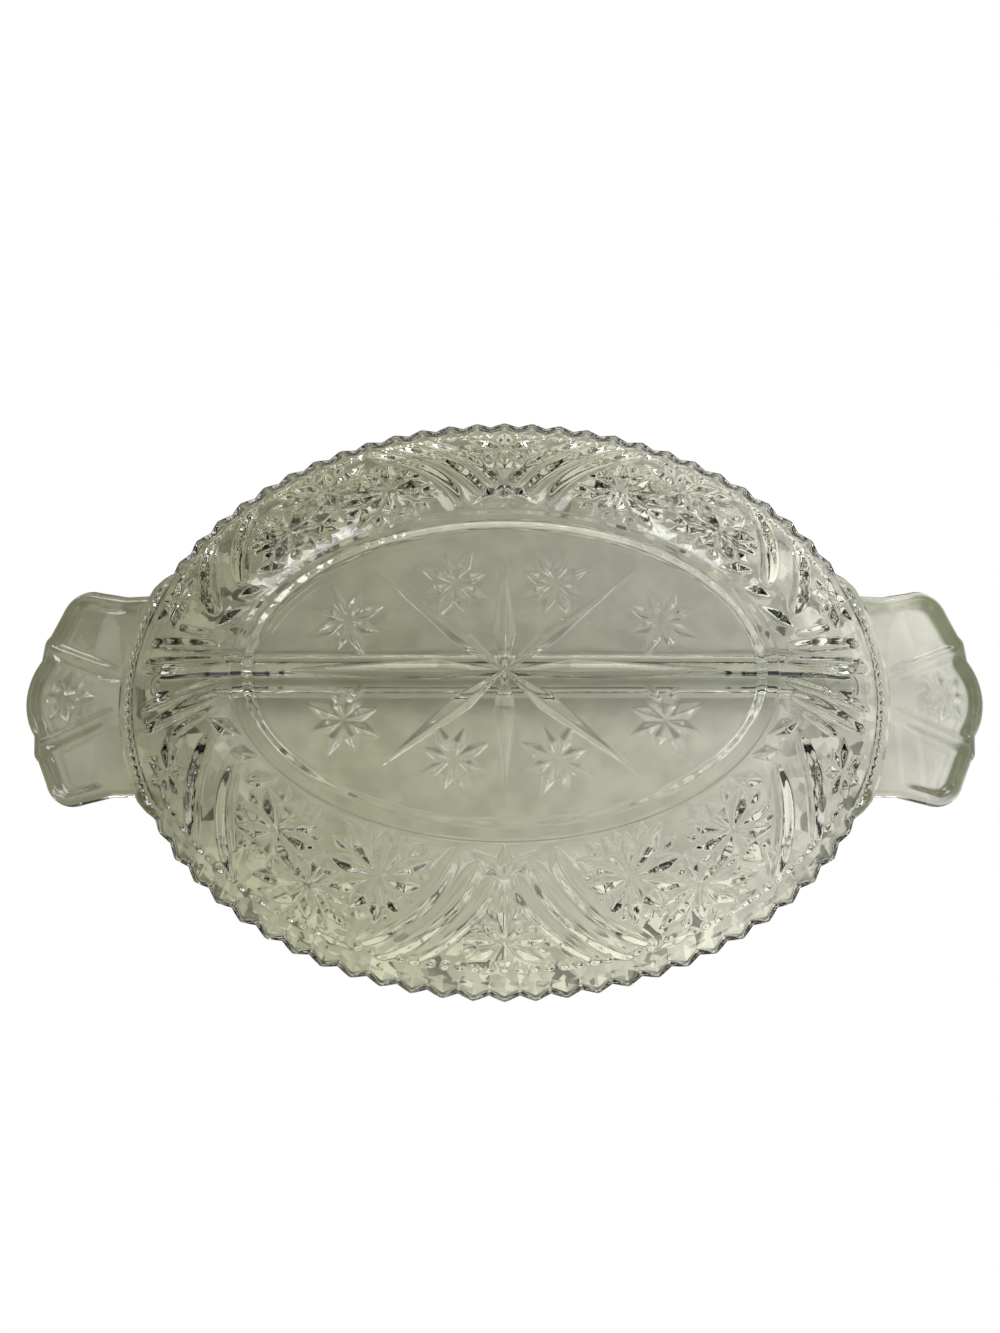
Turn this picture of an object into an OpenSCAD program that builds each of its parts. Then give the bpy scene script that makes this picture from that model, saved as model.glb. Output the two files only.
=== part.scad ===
// Oval two-part relish tray of pressed clear glass with a sawtooth rim, cut
// stars and flutes on its outside, a bar across its floor and a lobed handle
// at each end. It stands on its foot ring: X runs through the handles, Y
// across the tray, Z up from the table. Millimetres.

/* [Bowl] */
// Length of the sawtooth rim, without the handles
rim_l = 197.2; // [180:0.2:215]
// Width of the sawtooth rim
rim_w = 151.6; // [140:0.2:165]
// Height of the tooth tips above the table
rim_h = 35.4; // [33:0.2:42]
// Height where the rim reaches furthest out
edge_h = 31.3; // [29.5:0.1:32]
// Thickness of the floor
floor_t = 4.7; // [4:0.1:6]
// Upright thickness of the wall just below the rim
wall_t = 6.2; // [5.4:0.1:7]
// How hollow the flared wall is, 1 being straight
wall_bow = 1.3; // [1.15:0.01:1.5]

/* [Foot ring] */
// Length of the foot ring
ring_l = 124.6; // [116:0.2:132]
// Width of the foot ring
ring_w = 77; // [72:0.2:82]
// Width of the band that the tray stands on
ring_band = 4; // [3:0.1:5]
// Height of the foot ring
ring_h = 1.8; // [1.4:0.1:2.2]

/* [Sawtooth rim] */
// Distance from one tooth tip to the next
tooth_pitch = 7.65; // [7:0.05:8.2]
// How far a tip stands out past the notches
tooth_out = 1.7; // [1:0.05:2.2]
// How far a tip stands above the notches
tooth_up = 2; // [1.2:0.1:2.6]
// Width of the flared lip below the rim's edge, seen from below
lip_w = 1.6; // [1.2:0.05:2]
// Width of the bevel on top of the rim
bevel_w = 1.5; // [1.2:0.05:1.8]

/* [Relief] */
// Depth of the star rays
ray_depth = 1.5; // [1:0.05:1.9]
// Depth of the flutes
flute_depth = 1.2; // [0.8:0.05:1.6]
// Half width of the widest flute
flute_half = 2.3; // [1.8:0.05:2.6]
// Depth of the big star under the floor
star_depth = 1.3; // [0.8:0.05:1.8]

/* [Divider] */
// Thickness of the divider at the floor
div_base = 7; // [6:0.1:7.2]
// Thickness of the divider at its rounded top
div_top = 4; // [3:0.1:5]
// Height of the divider's top above the table
div_h = 26; // [20:0.5:28]

/* [Handles] */
// Reach of a handle past the rim
handle_reach = 28.4; // [25:0.1:32]
// Thickness of the handle
handle_t = 5.5; // [4.8:0.1:6]
// Height of the handle's tip above the tooth tips
handle_up = 8.6; // [5:0.1:11]
// Width of the handle where it leaves the rim
neck_w = 52.8; // [50:0.1:54]
// How far the handle runs on past the rim before its lobes
neck_run = 1; // [0.5:0.1:1.5]
// Radius of each outer lobe
lobe_r = 8.5; // [8:0.1:9]
// How far the outer lobes stand out past the neck
lobe_out = 2.2; // [1.6:0.1:2.8]
// Radius of the small lobe between an outer lobe and the middle one
bead_r = 3; // [2.7:0.1:3.3]
// Distance of the small lobe's middle from the tip, along the tray
bead_back = 6.9; // [6.6:0.1:7.2]
// Distance between the middles of the small lobe and the outer lobe, across
bead_in = 5.9; // [5.6:0.1:6.2]
// Radius of the middle lobe
mid_r = 16.5; // [15.5:0.1:17.5]
// Depth of the sunk panels under the handle
panel_depth = 0.9; // [0.5:0.05:1.3]
// Width of the border round the panels
panel_border = 3.4; // [3:0.1:3.8]
// Distance from the rim to the panels
panel_gap = 3.2; // [2.8:0.1:3.8]
// Width of the ribs between the panels
rib_w = 2.8; // [2.2:0.1:3.4]
// Distance of the fan's middle from the tip
fan_back = 11.2; // [10.8:0.1:11.6]

/* [Hidden] */
glass = [0.80, 0.82, 0.76];

// Outer half axes at the ring and at the rim, and the flare between them
ring_a = ring_l / 2;
ring_b = ring_w / 2;
rim_a = rim_l / 2;
rim_b = rim_w / 2;
flare_a = rim_a - ring_a;
flare_b = rim_b - ring_b;
flare = (flare_a + flare_b) / 2;
floor_top = ring_h + floor_t;

// The wall is placed by phi, the ellipse's angle from the handle, and by
// out, the share of the flare from the ring, 0, to the rim, 1.
function along(phi, out) = [
  (ring_a + flare_a * out) * cos(phi),
  (ring_b + flare_b * out) * sin(phi)
];
function outside_z(out) = ring_h + (edge_h - ring_h) * pow(max(out, 0), wall_bow);
function inside_z(out) =
  outside_z(out) + floor_t + (wall_t - floor_t) * out / inner_top_share;
function on_wall(phi, out) = concat(along(phi, out), [outside_z(out)]);

// Direction straight into the glass at a place on the wall's outside
nudge_deg = 0.5;
nudge_share = 0.005;
function unit(v) = v / norm(v);
function into_glass(phi, out) = unit(cross(
  on_wall(phi, out + nudge_share) - on_wall(phi, out - nudge_share),
  on_wall(phi + nudge_deg, out) - on_wall(phi - nudge_deg, out)
));

// Rows of the wall's section
outer_row_shares = [0, 0.2, 0.42, 0.65];
tooth_foot_share = 0.86;
inner_top_share = 0.88;
inner_row_shares = [0.65, 0.42, 0.2, 0];
lip_drop = 0.75 * lip_w;
bevel_h = 0.45 * bevel_w;
edge_bevel_w = 0.4 * bevel_w;
root_face_h = 5.6;

function mix(p, q, k) = p * (1 - k) + q * k;
function share(len) = len / flare;

// The rim's rows, for tooth 0 in a notch to 1 on a tip
function tooth_rows(tooth) =
  let (edge = 1 - share(tooth_out) * (1 - tooth))
  let (z = rim_h - bevel_h - tooth_face_h - tooth_up * (1 - tooth))
  [
    [edge - share(lip_w), z - lip_drop],
    [edge, z],
    [edge - share(edge_bevel_w), z + tooth_face_h],
    [edge - share(bevel_w), z + tooth_face_h + bevel_h]
  ];
tooth_face_h = rim_h - bevel_h - edge_h - tooth_up / 2;

// The same rows where a handle grows out of the rim's upright face
root_rows = [
  [1 - share(lip_w), rim_h - root_face_h - lip_drop],
  [1, rim_h - root_face_h],
  [1, rim_h],
  [1 - share(bevel_w), rim_h]
];

function section(phi, tooth, root) = [
  for (row = concat(
    [for (out = outer_row_shares) [out, outside_z(out)]],
    [[tooth_foot_share, outside_z(tooth_foot_share)]],
    [for (i = [0 : 3]) mix(tooth_rows(tooth)[i], root_rows[i], root)],
    [[inner_top_share, inside_z(inner_top_share)]],
    [for (out = inner_row_shares) [out, inside_z(out)]]
  )) concat(along(phi, row[0]), [row[1]])
];

// Angle of a place on the rim, from its length along the rim to the middle
step_deg = 1;
function rim_step(phi) = norm(along(phi, 1) - along(phi - step_deg, 1));
function rim_run(phi) = phi >= 90 ? 0 : rim_run(phi + step_deg) + rim_step(phi + step_deg);
run_table = [for (phi = [90 : -step_deg : 10]) [rim_run(phi), phi]];
function phi_at(run) = lookup(run, run_table);

// Stations of a long wall, from the middle to where it meets the end wall
end_phi = 13;
root_phi = 21.5;
fade_phi = 24;
last_tooth = floor(rim_run(ceil(fade_phi + step_deg)) / tooth_pitch - 0.5);
last_tooth_share = 0.6;
half_stations = concat(
  [for (tooth = [0 : last_tooth])
    [phi_at(tooth * tooth_pitch), tooth < last_tooth ? 1 : last_tooth_share, 0]],
  [[phi_at((last_tooth + 0.5) * tooth_pitch), 0, 0], [fade_phi, 0, 0.5], [root_phi, 0, 1],
   [(root_phi + end_phi) / 2, 0, 1], [end_phi, 0, 1]]
);
long_stations = concat(
  [for (i = [len(half_stations) - 1 : -1 : 1]) half_stations[i]],
  [for (s = half_stations) [180 - s[0], s[1], s[2]]]
);
notch_phis = [for (i = [-last_tooth : last_tooth - 1])
  let (phi = phi_at((abs(i + 0.5)) * tooth_pitch)) i < 0 ? phi : 180 - phi];
first_notch = len(half_stations) - 1 - last_tooth;

// Stations of an end wall, with a flat strip where the divider meets it
strip_phi = 5.5;
end_phis = [-end_phi, -(end_phi + strip_phi) / 2, -strip_phi,
            strip_phi, (end_phi + strip_phi) / 2, end_phi];

// A closed solid through whole sections of the wall. Where a notch lies
// between two of them, its own section has the rim's rows alone, because
// the wall below runs straight from tooth to tooth.
foot_row = len(outer_row_shares);
top_row = foot_row + 5;
row_count = top_row + 1 + len(inner_row_shares);
function rim_only(rows) = [for (i = [foot_row : top_row]) rows[i]];
function quad(p, q, r, s) = [[p, s, q], [q, s, r]];
function strips(p, q, from, to) =
  [for (i = [from : to]) each quad(p + i, q + i, q + (i + 1) % row_count, p + (i + 1) % row_count)];
function notch_faces(p, q, notch) =
  let (n = notch - foot_row)
  concat(
    [for (i = [foot_row : top_row - 1]) each concat(
      quad(p + i, n + i, n + i + 1, p + i + 1),
      quad(n + i, q + i, q + i + 1, n + i + 1)
    )],
    [[p + foot_row - 1, n + foot_row, q + foot_row - 1],
     [p + foot_row - 1, p + foot_row, n + foot_row],
     [n + foot_row, q + foot_row, q + foot_row - 1]],
    [[n + top_row, p + top_row + 1, q + top_row + 1],
     [n + top_row, p + top_row, p + top_row + 1],
     [n + top_row, q + top_row + 1, q + top_row]]
  );
function bay_faces(p, q, notch) =
  notch == 0
    ? strips(p, q, 0, row_count - 1)
    : concat(strips(p, q, 0, foot_row - 2), strips(p, q, top_row + 1, row_count - 1),
             notch_faces(p, q, notch));

module loft(sections, notches) {
  last = len(sections) - 1;
  whole = len(sections) * row_count;
  notch_rows = top_row - foot_row + 1;
  polyhedron(
    points = concat(
      [for (s = sections) each s],
      [for (s = notches) each rim_only(s)]
    ),
    faces = concat(
      [[for (i = [row_count - 1 : -1 : 0]) i]],
      [for (s = [0 : last - 1]) each bay_faces(
        s * row_count, (s + 1) * row_count,
        s < first_notch || s >= first_notch + len(notches)
          ? 0 : whole + (s - first_notch) * notch_rows
      )],
      [[for (i = [0 : row_count - 1]) last * row_count + i]]
    )
  );
}

// A ray is a kite cut to a crease: from one tip to the other, widest and
// deepest at its belly. The cutter is carried above the surface by its own
// slopes, and starts a little behind its star's middle.
wall_lift_share = 1.1;
flat_lift_share = 0.3;
behind_share = 0.05;
module kite(from, to, belly, side, deep, lift) {
  bottom = belly + deep;
  corners = [mix(from, to, -behind_share), belly + side, to, belly - side];
  hull() polyhedron(
    points = concat([bottom], [for (p = corners) bottom + (p - bottom) * (1 + lift)]),
    faces = [[0, 1, 2, 3, 4]]
  );
}

module wall_ray(from, to, half, deep, belly_share = 0.42) {
  place = mix(from, to, belly_share);
  tip = on_wall(to[0], to[1]);
  start = on_wall(from[0], from[1]);
  into = into_glass(place[0], place[1]);
  kite(start, tip, on_wall(place[0], place[1]), unit(cross(into, tip - start)) * half,
       into * deep, wall_lift_share);
}

// A flute is a hollow with a round bed along a path of places [phi, out].
// Its cutter's roof is carried above the surface.
flute_steps = 4;
flute_end_share = 0.14;
roof_wide_share = 1.2;
roof_lift_share = 2;
bed_degs = [-90, -30, 30, 90];
function bend(path, t) =
  mix(mix(path[0], path[1], t), mix(path[1], path[2], t), t);
module wall_flute(path, half, deep) {
  for (i = [0 : flute_steps - 1])
    hull() polyhedron(
      points = concat(flute_ring(path, i, half, deep), flute_ring(path, i + 1, half, deep)),
      faces = [[for (k = [0 : 2 * len(bed_degs) + 3]) k]]
    );
}
function flute_ring(path, i, half, deep) =
  let (
    t = i / flute_steps,
    swell = max(sqrt(1 - pow(2 * t - 1, 4)), flute_end_share),
    place = bend(path, t),
    ahead = bend(path, t + nudge_share),
    here = on_wall(place[0], place[1]),
    into = into_glass(place[0], place[1]),
    side = unit(cross(into, on_wall(ahead[0], ahead[1]) - here)) * half * swell
  )
  concat(
    [for (a = bed_degs) here + side * sin(a) + into * deep * swell * cos(a)],
    [for (way = [1, -1]) here + side * way * roof_wide_share - into * deep * roof_lift_share]
  );

// Stars of one quarter of the wall: place, then the places of the ray tips
star_shares = [
  [[67.4, 0.3], [[70.4, 0.05], [65.4, 0.05], [57.5, 0.06], [57, 0.27], [57.6, 0.47], [63.8, 0.55],
                 [69.5, 0.58], [73.2, 0.5], [75.8, 0.3], [76, 0.14]]],
  [[45.3, 0.32], [[54.6, 0.27], [53.4, 0.1], [46.8, 0.07], [37.6, 0.13], [35.8, 0.34],
                  [38.5, 0.46], [44.2, 0.6], [53, 0.46]]],
  [[56.3, 0.5], [[56.4, 0.27], [51.6, 0.4], [46, 0.66], [51.8, 0.71], [58.4, 0.71],
                 [65.2, 0.66], [63.4, 0.53]]]
];
middle_star_share = 0.59;
middle_ray_shares = [
  [90, 0.8], [90, 0.3], [86.5, 0.46], [93.5, 0.46], [83.2, 0.58], [96.8, 0.58],
  [84.2, 0.72], [95.8, 0.72]
];
end_star_shares = [
  [19.5, 0.65], [[13.2, 0.55], [17, 0.5], [22.6, 0.52], [25.2, 0.66], [24.4, 0.79],
                 [19.6, 0.82], [15, 0.78]]
];
// Kites that stand alone at the ring, between the stars
lone_ray_shares = [
  [[62, 0.2], [62, 0.03]], [[50.2, 0.2], [50.2, 0.03]], [[33, 0.2], [38, 0.04]]
];
// The arrow at the middle: a kite to the ring and two arms
arrow_share = 0.21;
arrow_ray_shares = [[90, 0.02], [81, 0.03], [99, 0.03]];

// Flutes of one quarter: three in the band beside the middle, then the sheaf
band_flute_shares = [
  [[80.5, 0.07], [78, 0.38], [67, 0.76]],
  [[85, 0.16], [81.5, 0.45], [70.5, 0.8]],
  [[87.6, 0.22], [85, 0.45], [75.5, 0.8]]
];
sheaf_flute_shares = [
  [[17.5, 0.2], [25.5, 0.5], [34.5, 0.78]],
  [[27, 0.13], [33, 0.45], [43.5, 0.76]]
];
end_flute_shares = [
  [[8.2, 0.12], [8.6, 0.45], [9, 0.76]]
];
ray_half = 1.9;
slim_share = 0.72;

module quarter_relief() {
  for (star = star_shares, tip = star[1])
    wall_ray(star[0], tip, ray_half, ray_depth);
  for (tip = end_star_shares[1])
    wall_ray(end_star_shares[0], tip, ray_half * slim_share, ray_depth * slim_share);
  for (ray = lone_ray_shares)
    wall_ray(ray[0], ray[1], ray_half * slim_share, ray_depth * slim_share);
  for (path = band_flute_shares)
    wall_flute(path, flute_half * slim_share, flute_depth * slim_share);
  for (path = sheaf_flute_shares)
    wall_flute(path, flute_half, flute_depth);
}

module across() {
  children();
  mirror([1, 0, 0]) children();
}

module long_wall() {
  difference() {
    loft([for (s = long_stations) section(s[0], s[1], s[2])],
         [for (phi = notch_phis) section(phi, 0, 0)]);
    across() quarter_relief();
    for (tip = middle_ray_shares)
      wall_ray([90, middle_star_share], tip, ray_half * slim_share, ray_depth * slim_share);
    for (tip = arrow_ray_shares)
      wall_ray([90, arrow_share], tip, ray_half * slim_share, ray_depth * slim_share);
  }
}

module end_wall() {
  difference() {
    loft([for (phi = end_phis) section(phi, 0, 1)], []);
    for (way = [1, -1]) mirror([0, way < 0 ? 1 : 0, 0]) {
      for (path = end_flute_shares) wall_flute(path, flute_half, flute_depth);
    }
  }
}

module back_wall() { color(glass) long_wall(); }

module front_wall() { color(glass) mirror([0, 1, 0]) long_wall(); }

module right_end_wall() { color(glass) end_wall(); }

module left_end_wall() { color(glass) mirror([1, 0, 0]) end_wall(); }

// The floor's edge follows the wall's own stations
quarter_phis = concat([for (s = half_stations) s[0]], [(end_phi + strip_phi) / 2, strip_phi]);
floor_phis = concat(
  [for (i = [len(quarter_phis) - 1 : -1 : 1]) quarter_phis[i]],
  [for (phi = quarter_phis) 180 - phi]
);

// Rays of the floor's big star in a half turn: direction, reach as a share
// of the ring's half length and width as a share of the widest ray's
big_ray_shares = [[0, 0.835, 0.87], [38, 0.61, 0.87], [90, 0.448, 1], [142, 0.61, 0.87]];
big_half = 2.3;
big_belly_share = 0.3;

// The small stars' places as shares of the ring's half axes
small_star_shares = [[0.58, 0.3], [0.186, 0.53]];
small_belly_share = 0.6;
small_ray_count = 8;
eye_r = 0.5;
eye_sides = 8;
small_turn = 20;
small_ray_l = 9.5;
small_half = 1.3;
small_depth = 0.9;

module floor_ray(x, y, dir, reach, half, deep, belly_share) {
  start = [x, y, ring_h];
  tip = start + [cos(dir), sin(dir), 0] * reach;
  kite(start, tip, mix(start, tip, belly_share), [-sin(dir), cos(dir), 0] * half, [0, 0, deep],
       flat_lift_share);
}

// The eye where a star's creases meet
module star_eye(x, y) {
  translate([x, y, ring_h - eye_r]) cylinder(r = eye_r, h = 2 * eye_r, $fn = eye_sides);
}

module floor() {
  color(glass) difference() {
    translate([0, 0, ring_h]) linear_extrude(floor_t)
      polygon([for (turn = [0, 180], phi = floor_phis) along(phi + turn, 0)]);
    for (ray = big_ray_shares, turn = [0, 180])
      floor_ray(0, 0, ray[0] + turn, ray[1] * ring_a, ray[2] * big_half, star_depth,
                big_belly_share);
    star_eye(0, 0);
    for (place = small_star_shares, sx = [-1, 1], sy = [-1, 1]) {
      x = sx * place[0] * ring_a;
      y = sy * place[1] * ring_b;
      star_eye(x, y);
      for (i = [1 : small_ray_count])
        floor_ray(x, y, i * 360 / small_ray_count + small_turn * sx * sy,
                  small_ray_l, small_half, small_depth, small_belly_share);
    }
  }
}

oval_sides = 120;
function oval(a, b) =
  [for (i = [0 : oval_sides - 1]) [a * cos(i * 360 / oval_sides), b * sin(i * 360 / oval_sides)]];
module foot_ring() {
  color(glass) linear_extrude(ring_h) difference() {
    polygon(oval(ring_a, ring_b));
    polygon(oval(ring_a - ring_band, ring_b - ring_band));
  }
}

// The bar's ends follow the flat strip of the end walls
div_rows = [for (i = [len(inner_row_shares) - 1 : -1 : 0]) inner_row_shares[i]];
module divider() {
  color(glass) intersection() {
    rotate([90, 0, 0]) linear_extrude(2 * div_base, center = true)
      polygon(concat(
        [for (out = div_rows) [along(strip_phi, out)[0], inside_z(out)]],
        [for (i = [len(div_rows) - 1 : -1 : 0])
          [-along(strip_phi, div_rows[i])[0], inside_z(div_rows[i])]]
      ));
    rotate([90, 0, 90]) linear_extrude(rim_l, center = true) bar_section();
  }
}
module bar_section() {
  round_r = div_top / 2;
  translate([0, div_h - round_r]) circle(r = round_r, $fn = 32);
  polygon([[-div_base / 2, floor_top], [div_base / 2, floor_top],
           [round_r, div_h - round_r], [-round_r, div_h - round_r]]);
}

// Handle outline, from the root to the tip on one side
tip_x = rim_a + handle_reach;
mid_x = tip_x - mid_r;
lobe_x = mid_x;
lobe_y = neck_w / 2 + lobe_out - lobe_r;
bead_x = tip_x - bead_back;
bead_y = lobe_y - bead_in;
neck_x = rim_a + neck_run;
inner_x = rim_a * cos(root_phi) - handle_t;
lobe_degs = [110, 20];
bead_degs = [60, 0];
mid_degs = [38, 0];
function arc(x, y, r, degs, n) =
  [for (i = [0 : n]) let (deg = mix(degs[0], degs[1], i / n)) [x + r * cos(deg), y + r * sin(deg)]];
side_pts = concat(
  [[inner_x, neck_w / 2], [neck_x, neck_w / 2]],
  arc(lobe_x, lobe_y, lobe_r, lobe_degs, 7),
  arc(bead_x, bead_y, bead_r, bead_degs, 3),
  arc(mid_x, 0, mid_r, mid_degs, 6)
);
outline = concat(side_pts, [for (i = [len(side_pts) - 2 : -1 : 0]) [side_pts[i][0], -side_pts[i][1]]]);

// The handle sweeps up from the rim to its tip
sweep_x = rim_a * cos(root_phi);
sweep_bow = 1.15;
function handle_low(x) =
  rim_h - handle_t + handle_up * pow(max(x - sweep_x, 0) / (tip_x - sweep_x), sweep_bow);

// One ring of the outline, drawn in along its own normals, at a height
// between the handle's lower face, 0, and its upper face, 1
round_degs = [-90, -45, 0, 45, 90];
function edge_normal(i) =
  let (n = len(outline), d = outline[(i + 1) % n] - outline[(i + n - 1) % n])
  unit([-d[1], d[0]]);
function handle_ring(deg) = [
  for (i = [0 : len(outline) - 1])
    let (p = outline[i] - edge_normal(i) * handle_t / 2 * (1 - cos(deg)))
    [p[0], p[1], handle_low(p[0]) + handle_t / 2 * (1 + sin(deg))]
];

module handle_body() {
  n = len(outline);
  m = len(side_pts);
  rings = len(round_degs);
  top = (rings - 1) * n;
  polyhedron(
    points = [for (deg = round_degs) each handle_ring(deg)],
    faces = concat(
      [for (r = [0 : rings - 2], i = [0 : n - 1])
        each quad(r * n + i, (r + 1) * n + i, (r + 1) * n + (i + 1) % n, r * n + (i + 1) % n)],
      [for (i = [0 : m - 2]) each face_strip(0, i, n, true)],
      [for (i = [0 : m - 2]) each face_strip(top, i, n, false)]
    )
  );
}
function face_strip(base, i, n, up) =
  let (
    p = base + i,
    q = base + i + 1,
    r = base + n - 2 - i,
    s = base + n - 1 - i,
    tris = q == r ? [[p, q, s]] : [[p, q, r], [p, r, s]]
  )
  up ? [for (t = tris) [t[2], t[1], t[0]]] : tris;

// Space between two heights above the handle's lower face
slab_steps = 12;
module handle_layer(low, high) {
  xs = [for (i = [0 : slab_steps]) mix(inner_x, tip_x, i / slab_steps)];
  rotate([90, 0, 0]) linear_extrude(2 * neck_w, center = true)
    polygon(concat(
      [for (x = xs) [x, handle_low(x) + low]],
      [for (i = [slab_steps : -1 : 0]) [xs[i], handle_low(xs[i]) + high]]
    ));
}

// Sunk panels under the handle: one in each outer lobe, one in the middle
panel_x = rim_a + panel_gap;
rib_root_y = 5.4;
rib_end_share = 0.37;
rib_end_x = bead_x + bead_r * rib_end_share;
rib_end_y = bead_y - bead_r * rib_end_share;
module panel_plan() {
  intersection() {
    offset(delta = -panel_border) polygon(outline);
    translate([panel_x, -neck_w]) square([handle_reach, 2 * neck_w]);
  }
}
module rib_plan() {
  for (sy = [-1, 1]) hull() {
    translate([panel_x, sy * rib_root_y]) circle(d = rib_w, $fn = 16);
    translate([rib_end_x, sy * rib_end_y]) circle(d = rib_w, $fn = 16);
  }
}

// Fan pressed into the middle panel: direction and reach of each ray
fan_x = tip_x - fan_back;
fan_l = 9;
fan_ray_shares = [
  [0, 0.62], [55, 0.78], [-55, 0.78], [110, 0.83], [-110, 0.83], [145, 0.83], [-145, 0.83], [180, 1]
];
fan_half = 1.1;
fan_depth = 0.9;
fan_belly_share = 0.5;
module fan_ray(dir, reach) {
  start = [fan_x, 0, handle_low(fan_x) + panel_depth];
  end_x = fan_x + reach * cos(dir);
  tip = [end_x, reach * sin(dir), handle_low(end_x) + panel_depth];
  kite(start, tip, mix(start, tip, fan_belly_share), [-sin(dir), cos(dir), 0] * fan_half,
       [0, 0, fan_depth], flat_lift_share);
}

module rim_core() {
  translate([0, 0, -rim_h]) linear_extrude(3 * rim_h)
    polygon(concat([[0, 0]], [for (phi = concat([-fade_phi, -root_phi, -(root_phi + end_phi) / 2],
      end_phis, [(root_phi + end_phi) / 2, root_phi, fade_phi])) along(phi, 1)]));
}

module handle() {
  difference() {
    handle_body();
    rim_core();
    intersection() {
      handle_layer(-handle_t, panel_depth);
      linear_extrude(3 * rim_h) difference() {
        panel_plan();
        rib_plan();
      }
    }
    for (ray = fan_ray_shares) fan_ray(ray[0], ray[1] * fan_l);
  }
}

module right_handle() { color(glass) handle(); }

module left_handle() { color(glass) mirror([1, 0, 0]) handle(); }

foot_ring();
floor();
front_wall();
back_wall();
left_end_wall();
right_end_wall();
divider();
left_handle();
right_handle();
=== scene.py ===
import math

import bmesh
import bpy
import numpy as np
from mathutils import Matrix, Vector


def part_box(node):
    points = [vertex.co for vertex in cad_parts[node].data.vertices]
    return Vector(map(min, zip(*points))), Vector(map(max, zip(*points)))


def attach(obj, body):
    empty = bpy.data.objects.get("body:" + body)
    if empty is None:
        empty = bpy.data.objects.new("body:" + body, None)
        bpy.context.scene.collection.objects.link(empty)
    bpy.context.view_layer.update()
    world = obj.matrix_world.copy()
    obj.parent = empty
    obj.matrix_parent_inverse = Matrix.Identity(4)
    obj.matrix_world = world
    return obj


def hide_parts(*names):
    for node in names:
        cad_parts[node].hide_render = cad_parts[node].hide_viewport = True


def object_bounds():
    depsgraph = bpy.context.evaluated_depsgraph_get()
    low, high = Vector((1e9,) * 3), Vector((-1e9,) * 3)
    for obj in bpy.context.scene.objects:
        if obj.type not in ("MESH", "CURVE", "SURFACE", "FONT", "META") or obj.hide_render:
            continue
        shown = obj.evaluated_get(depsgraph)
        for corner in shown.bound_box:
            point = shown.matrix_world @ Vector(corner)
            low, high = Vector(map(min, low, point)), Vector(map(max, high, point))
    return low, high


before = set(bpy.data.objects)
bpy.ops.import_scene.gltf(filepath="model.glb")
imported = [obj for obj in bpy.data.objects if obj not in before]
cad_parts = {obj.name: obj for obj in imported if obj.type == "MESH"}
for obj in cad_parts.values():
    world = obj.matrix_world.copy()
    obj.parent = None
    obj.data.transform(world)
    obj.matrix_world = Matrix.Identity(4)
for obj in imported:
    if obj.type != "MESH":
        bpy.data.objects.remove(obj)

MM = 0.001
# The least length that anything is divided by
NO_LENGTH = 1e-6
cad_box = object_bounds()


def node_box(node):
    low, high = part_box(node)
    return np.array(low) / MM, np.array(high) / MM


# Bowl. A wall's place is its share of the way out, 0 at the ring and 1 at the rim
RING_A, RING_B, RING_H = node_box("foot_ring")[1]
RIM_A = 98.6
_, RIM_B, RIM_H = node_box("back_wall")[1]
FLOOR_TOP = node_box("floor")[1][2]
EDGE_H = 31.3
WALL_T = 6.2
WALL_BOW = 1.3
FLARE_A = RIM_A - RING_A
FLARE_B = RIM_B - RING_B
FLARE = (FLARE_A + FLARE_B) / 2
LIP_FOOT_SHARE = 0.86
INNER_SHARE = 0.88
WELL_TOP_SHARE = 0.85

# Foot ring: its soft inner side and its sole as distances out from the band's
# inner edge, and its outer side as distances in from the outer edge and heights
RING_BAND = 4.0
RING_SLOPE_FROM, RING_SLOPE_TO = -1.3, 1.3
RING_SLOPE_STEPS = 10
RING_SOLE = (1.9, 2.6)
RING_OUTER = [(0.7, 0.0), (0.4, 0.08), (0.18, 0.3), (0.04, 0.75), (0.0, 1.3), (-0.05, 1.62)]
FLAT_INSET = 1.7

# Sawtooth rim. Beside a handle it fades out between two angles, in degrees
PITCH = 7.65
TOOTH_OUT = 1.7
TOOTH_UP = 2.0
TIP_ROUND = 0.1
TIP_GAIN = 0.6
LIP_W = 1.6
BEVEL_W = 1.5
LIP_DROP = 0.75 * LIP_W
BEVEL_H = 0.45 * BEVEL_W
EDGE_BEVEL_W = 0.4 * BEVEL_W
ROOT_FACE_H = 5.6
TOOTH_FACE_H = RIM_H - BEVEL_H - EDGE_H - TOOTH_UP / 2
HALF_TEETH = 27
LAST_TOOTH_SHARE = 0.6
FADE_PHI, ROOT_PHI = 24.0, 21.5
CORNER_R = 0.32
CORNER_MOST_SHARE = 0.42

# Handles. An arc is its first and last degree and its steps, a slope is two
# distances from an edge, a ray of the fan is its degree and its reach
_, _, HANDLE_TOP = node_box("right_handle")[1]
TIP_X = node_box("right_handle")[1][0]
HANDLE_T = 5.5
HANDLE_UP = HANDLE_TOP - RIM_H
NECK_HALF = 26.4
NECK_RUN = 1.0
LOBE_R, LOBE_OUT, LOBE_ARC = 8.5, 2.2, (110, 20, 24)
BEAD_R, BEAD_BACK, BEAD_IN, BEAD_ARC = 3.0, 6.9, 5.9, (60, 0, 8)
MID_R, MID_ARC = 16.5, (38, 0, 20)
SWEEP_BOW = 1.15
PANEL_DEPTH, PANEL_BORDER, PANEL_GAP = 1.5, 3.4, 2.4
BORDER_SLOPE, ROOT_SLOPE, RIB_SLOPE = (-1.1, 1.3), (-1.8, 6.8), (-0.4, 0.7)
RIB_W = 2.8
RIB_ROOT_Y = 5.4
RIB_END_OUT = 1.1
FAN_BACK = 11.2
FAN_RAYS = [(0, 5.6), (55, 7.0), (110, 7.5), (145, 7.5), (180, 9.0)]
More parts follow.
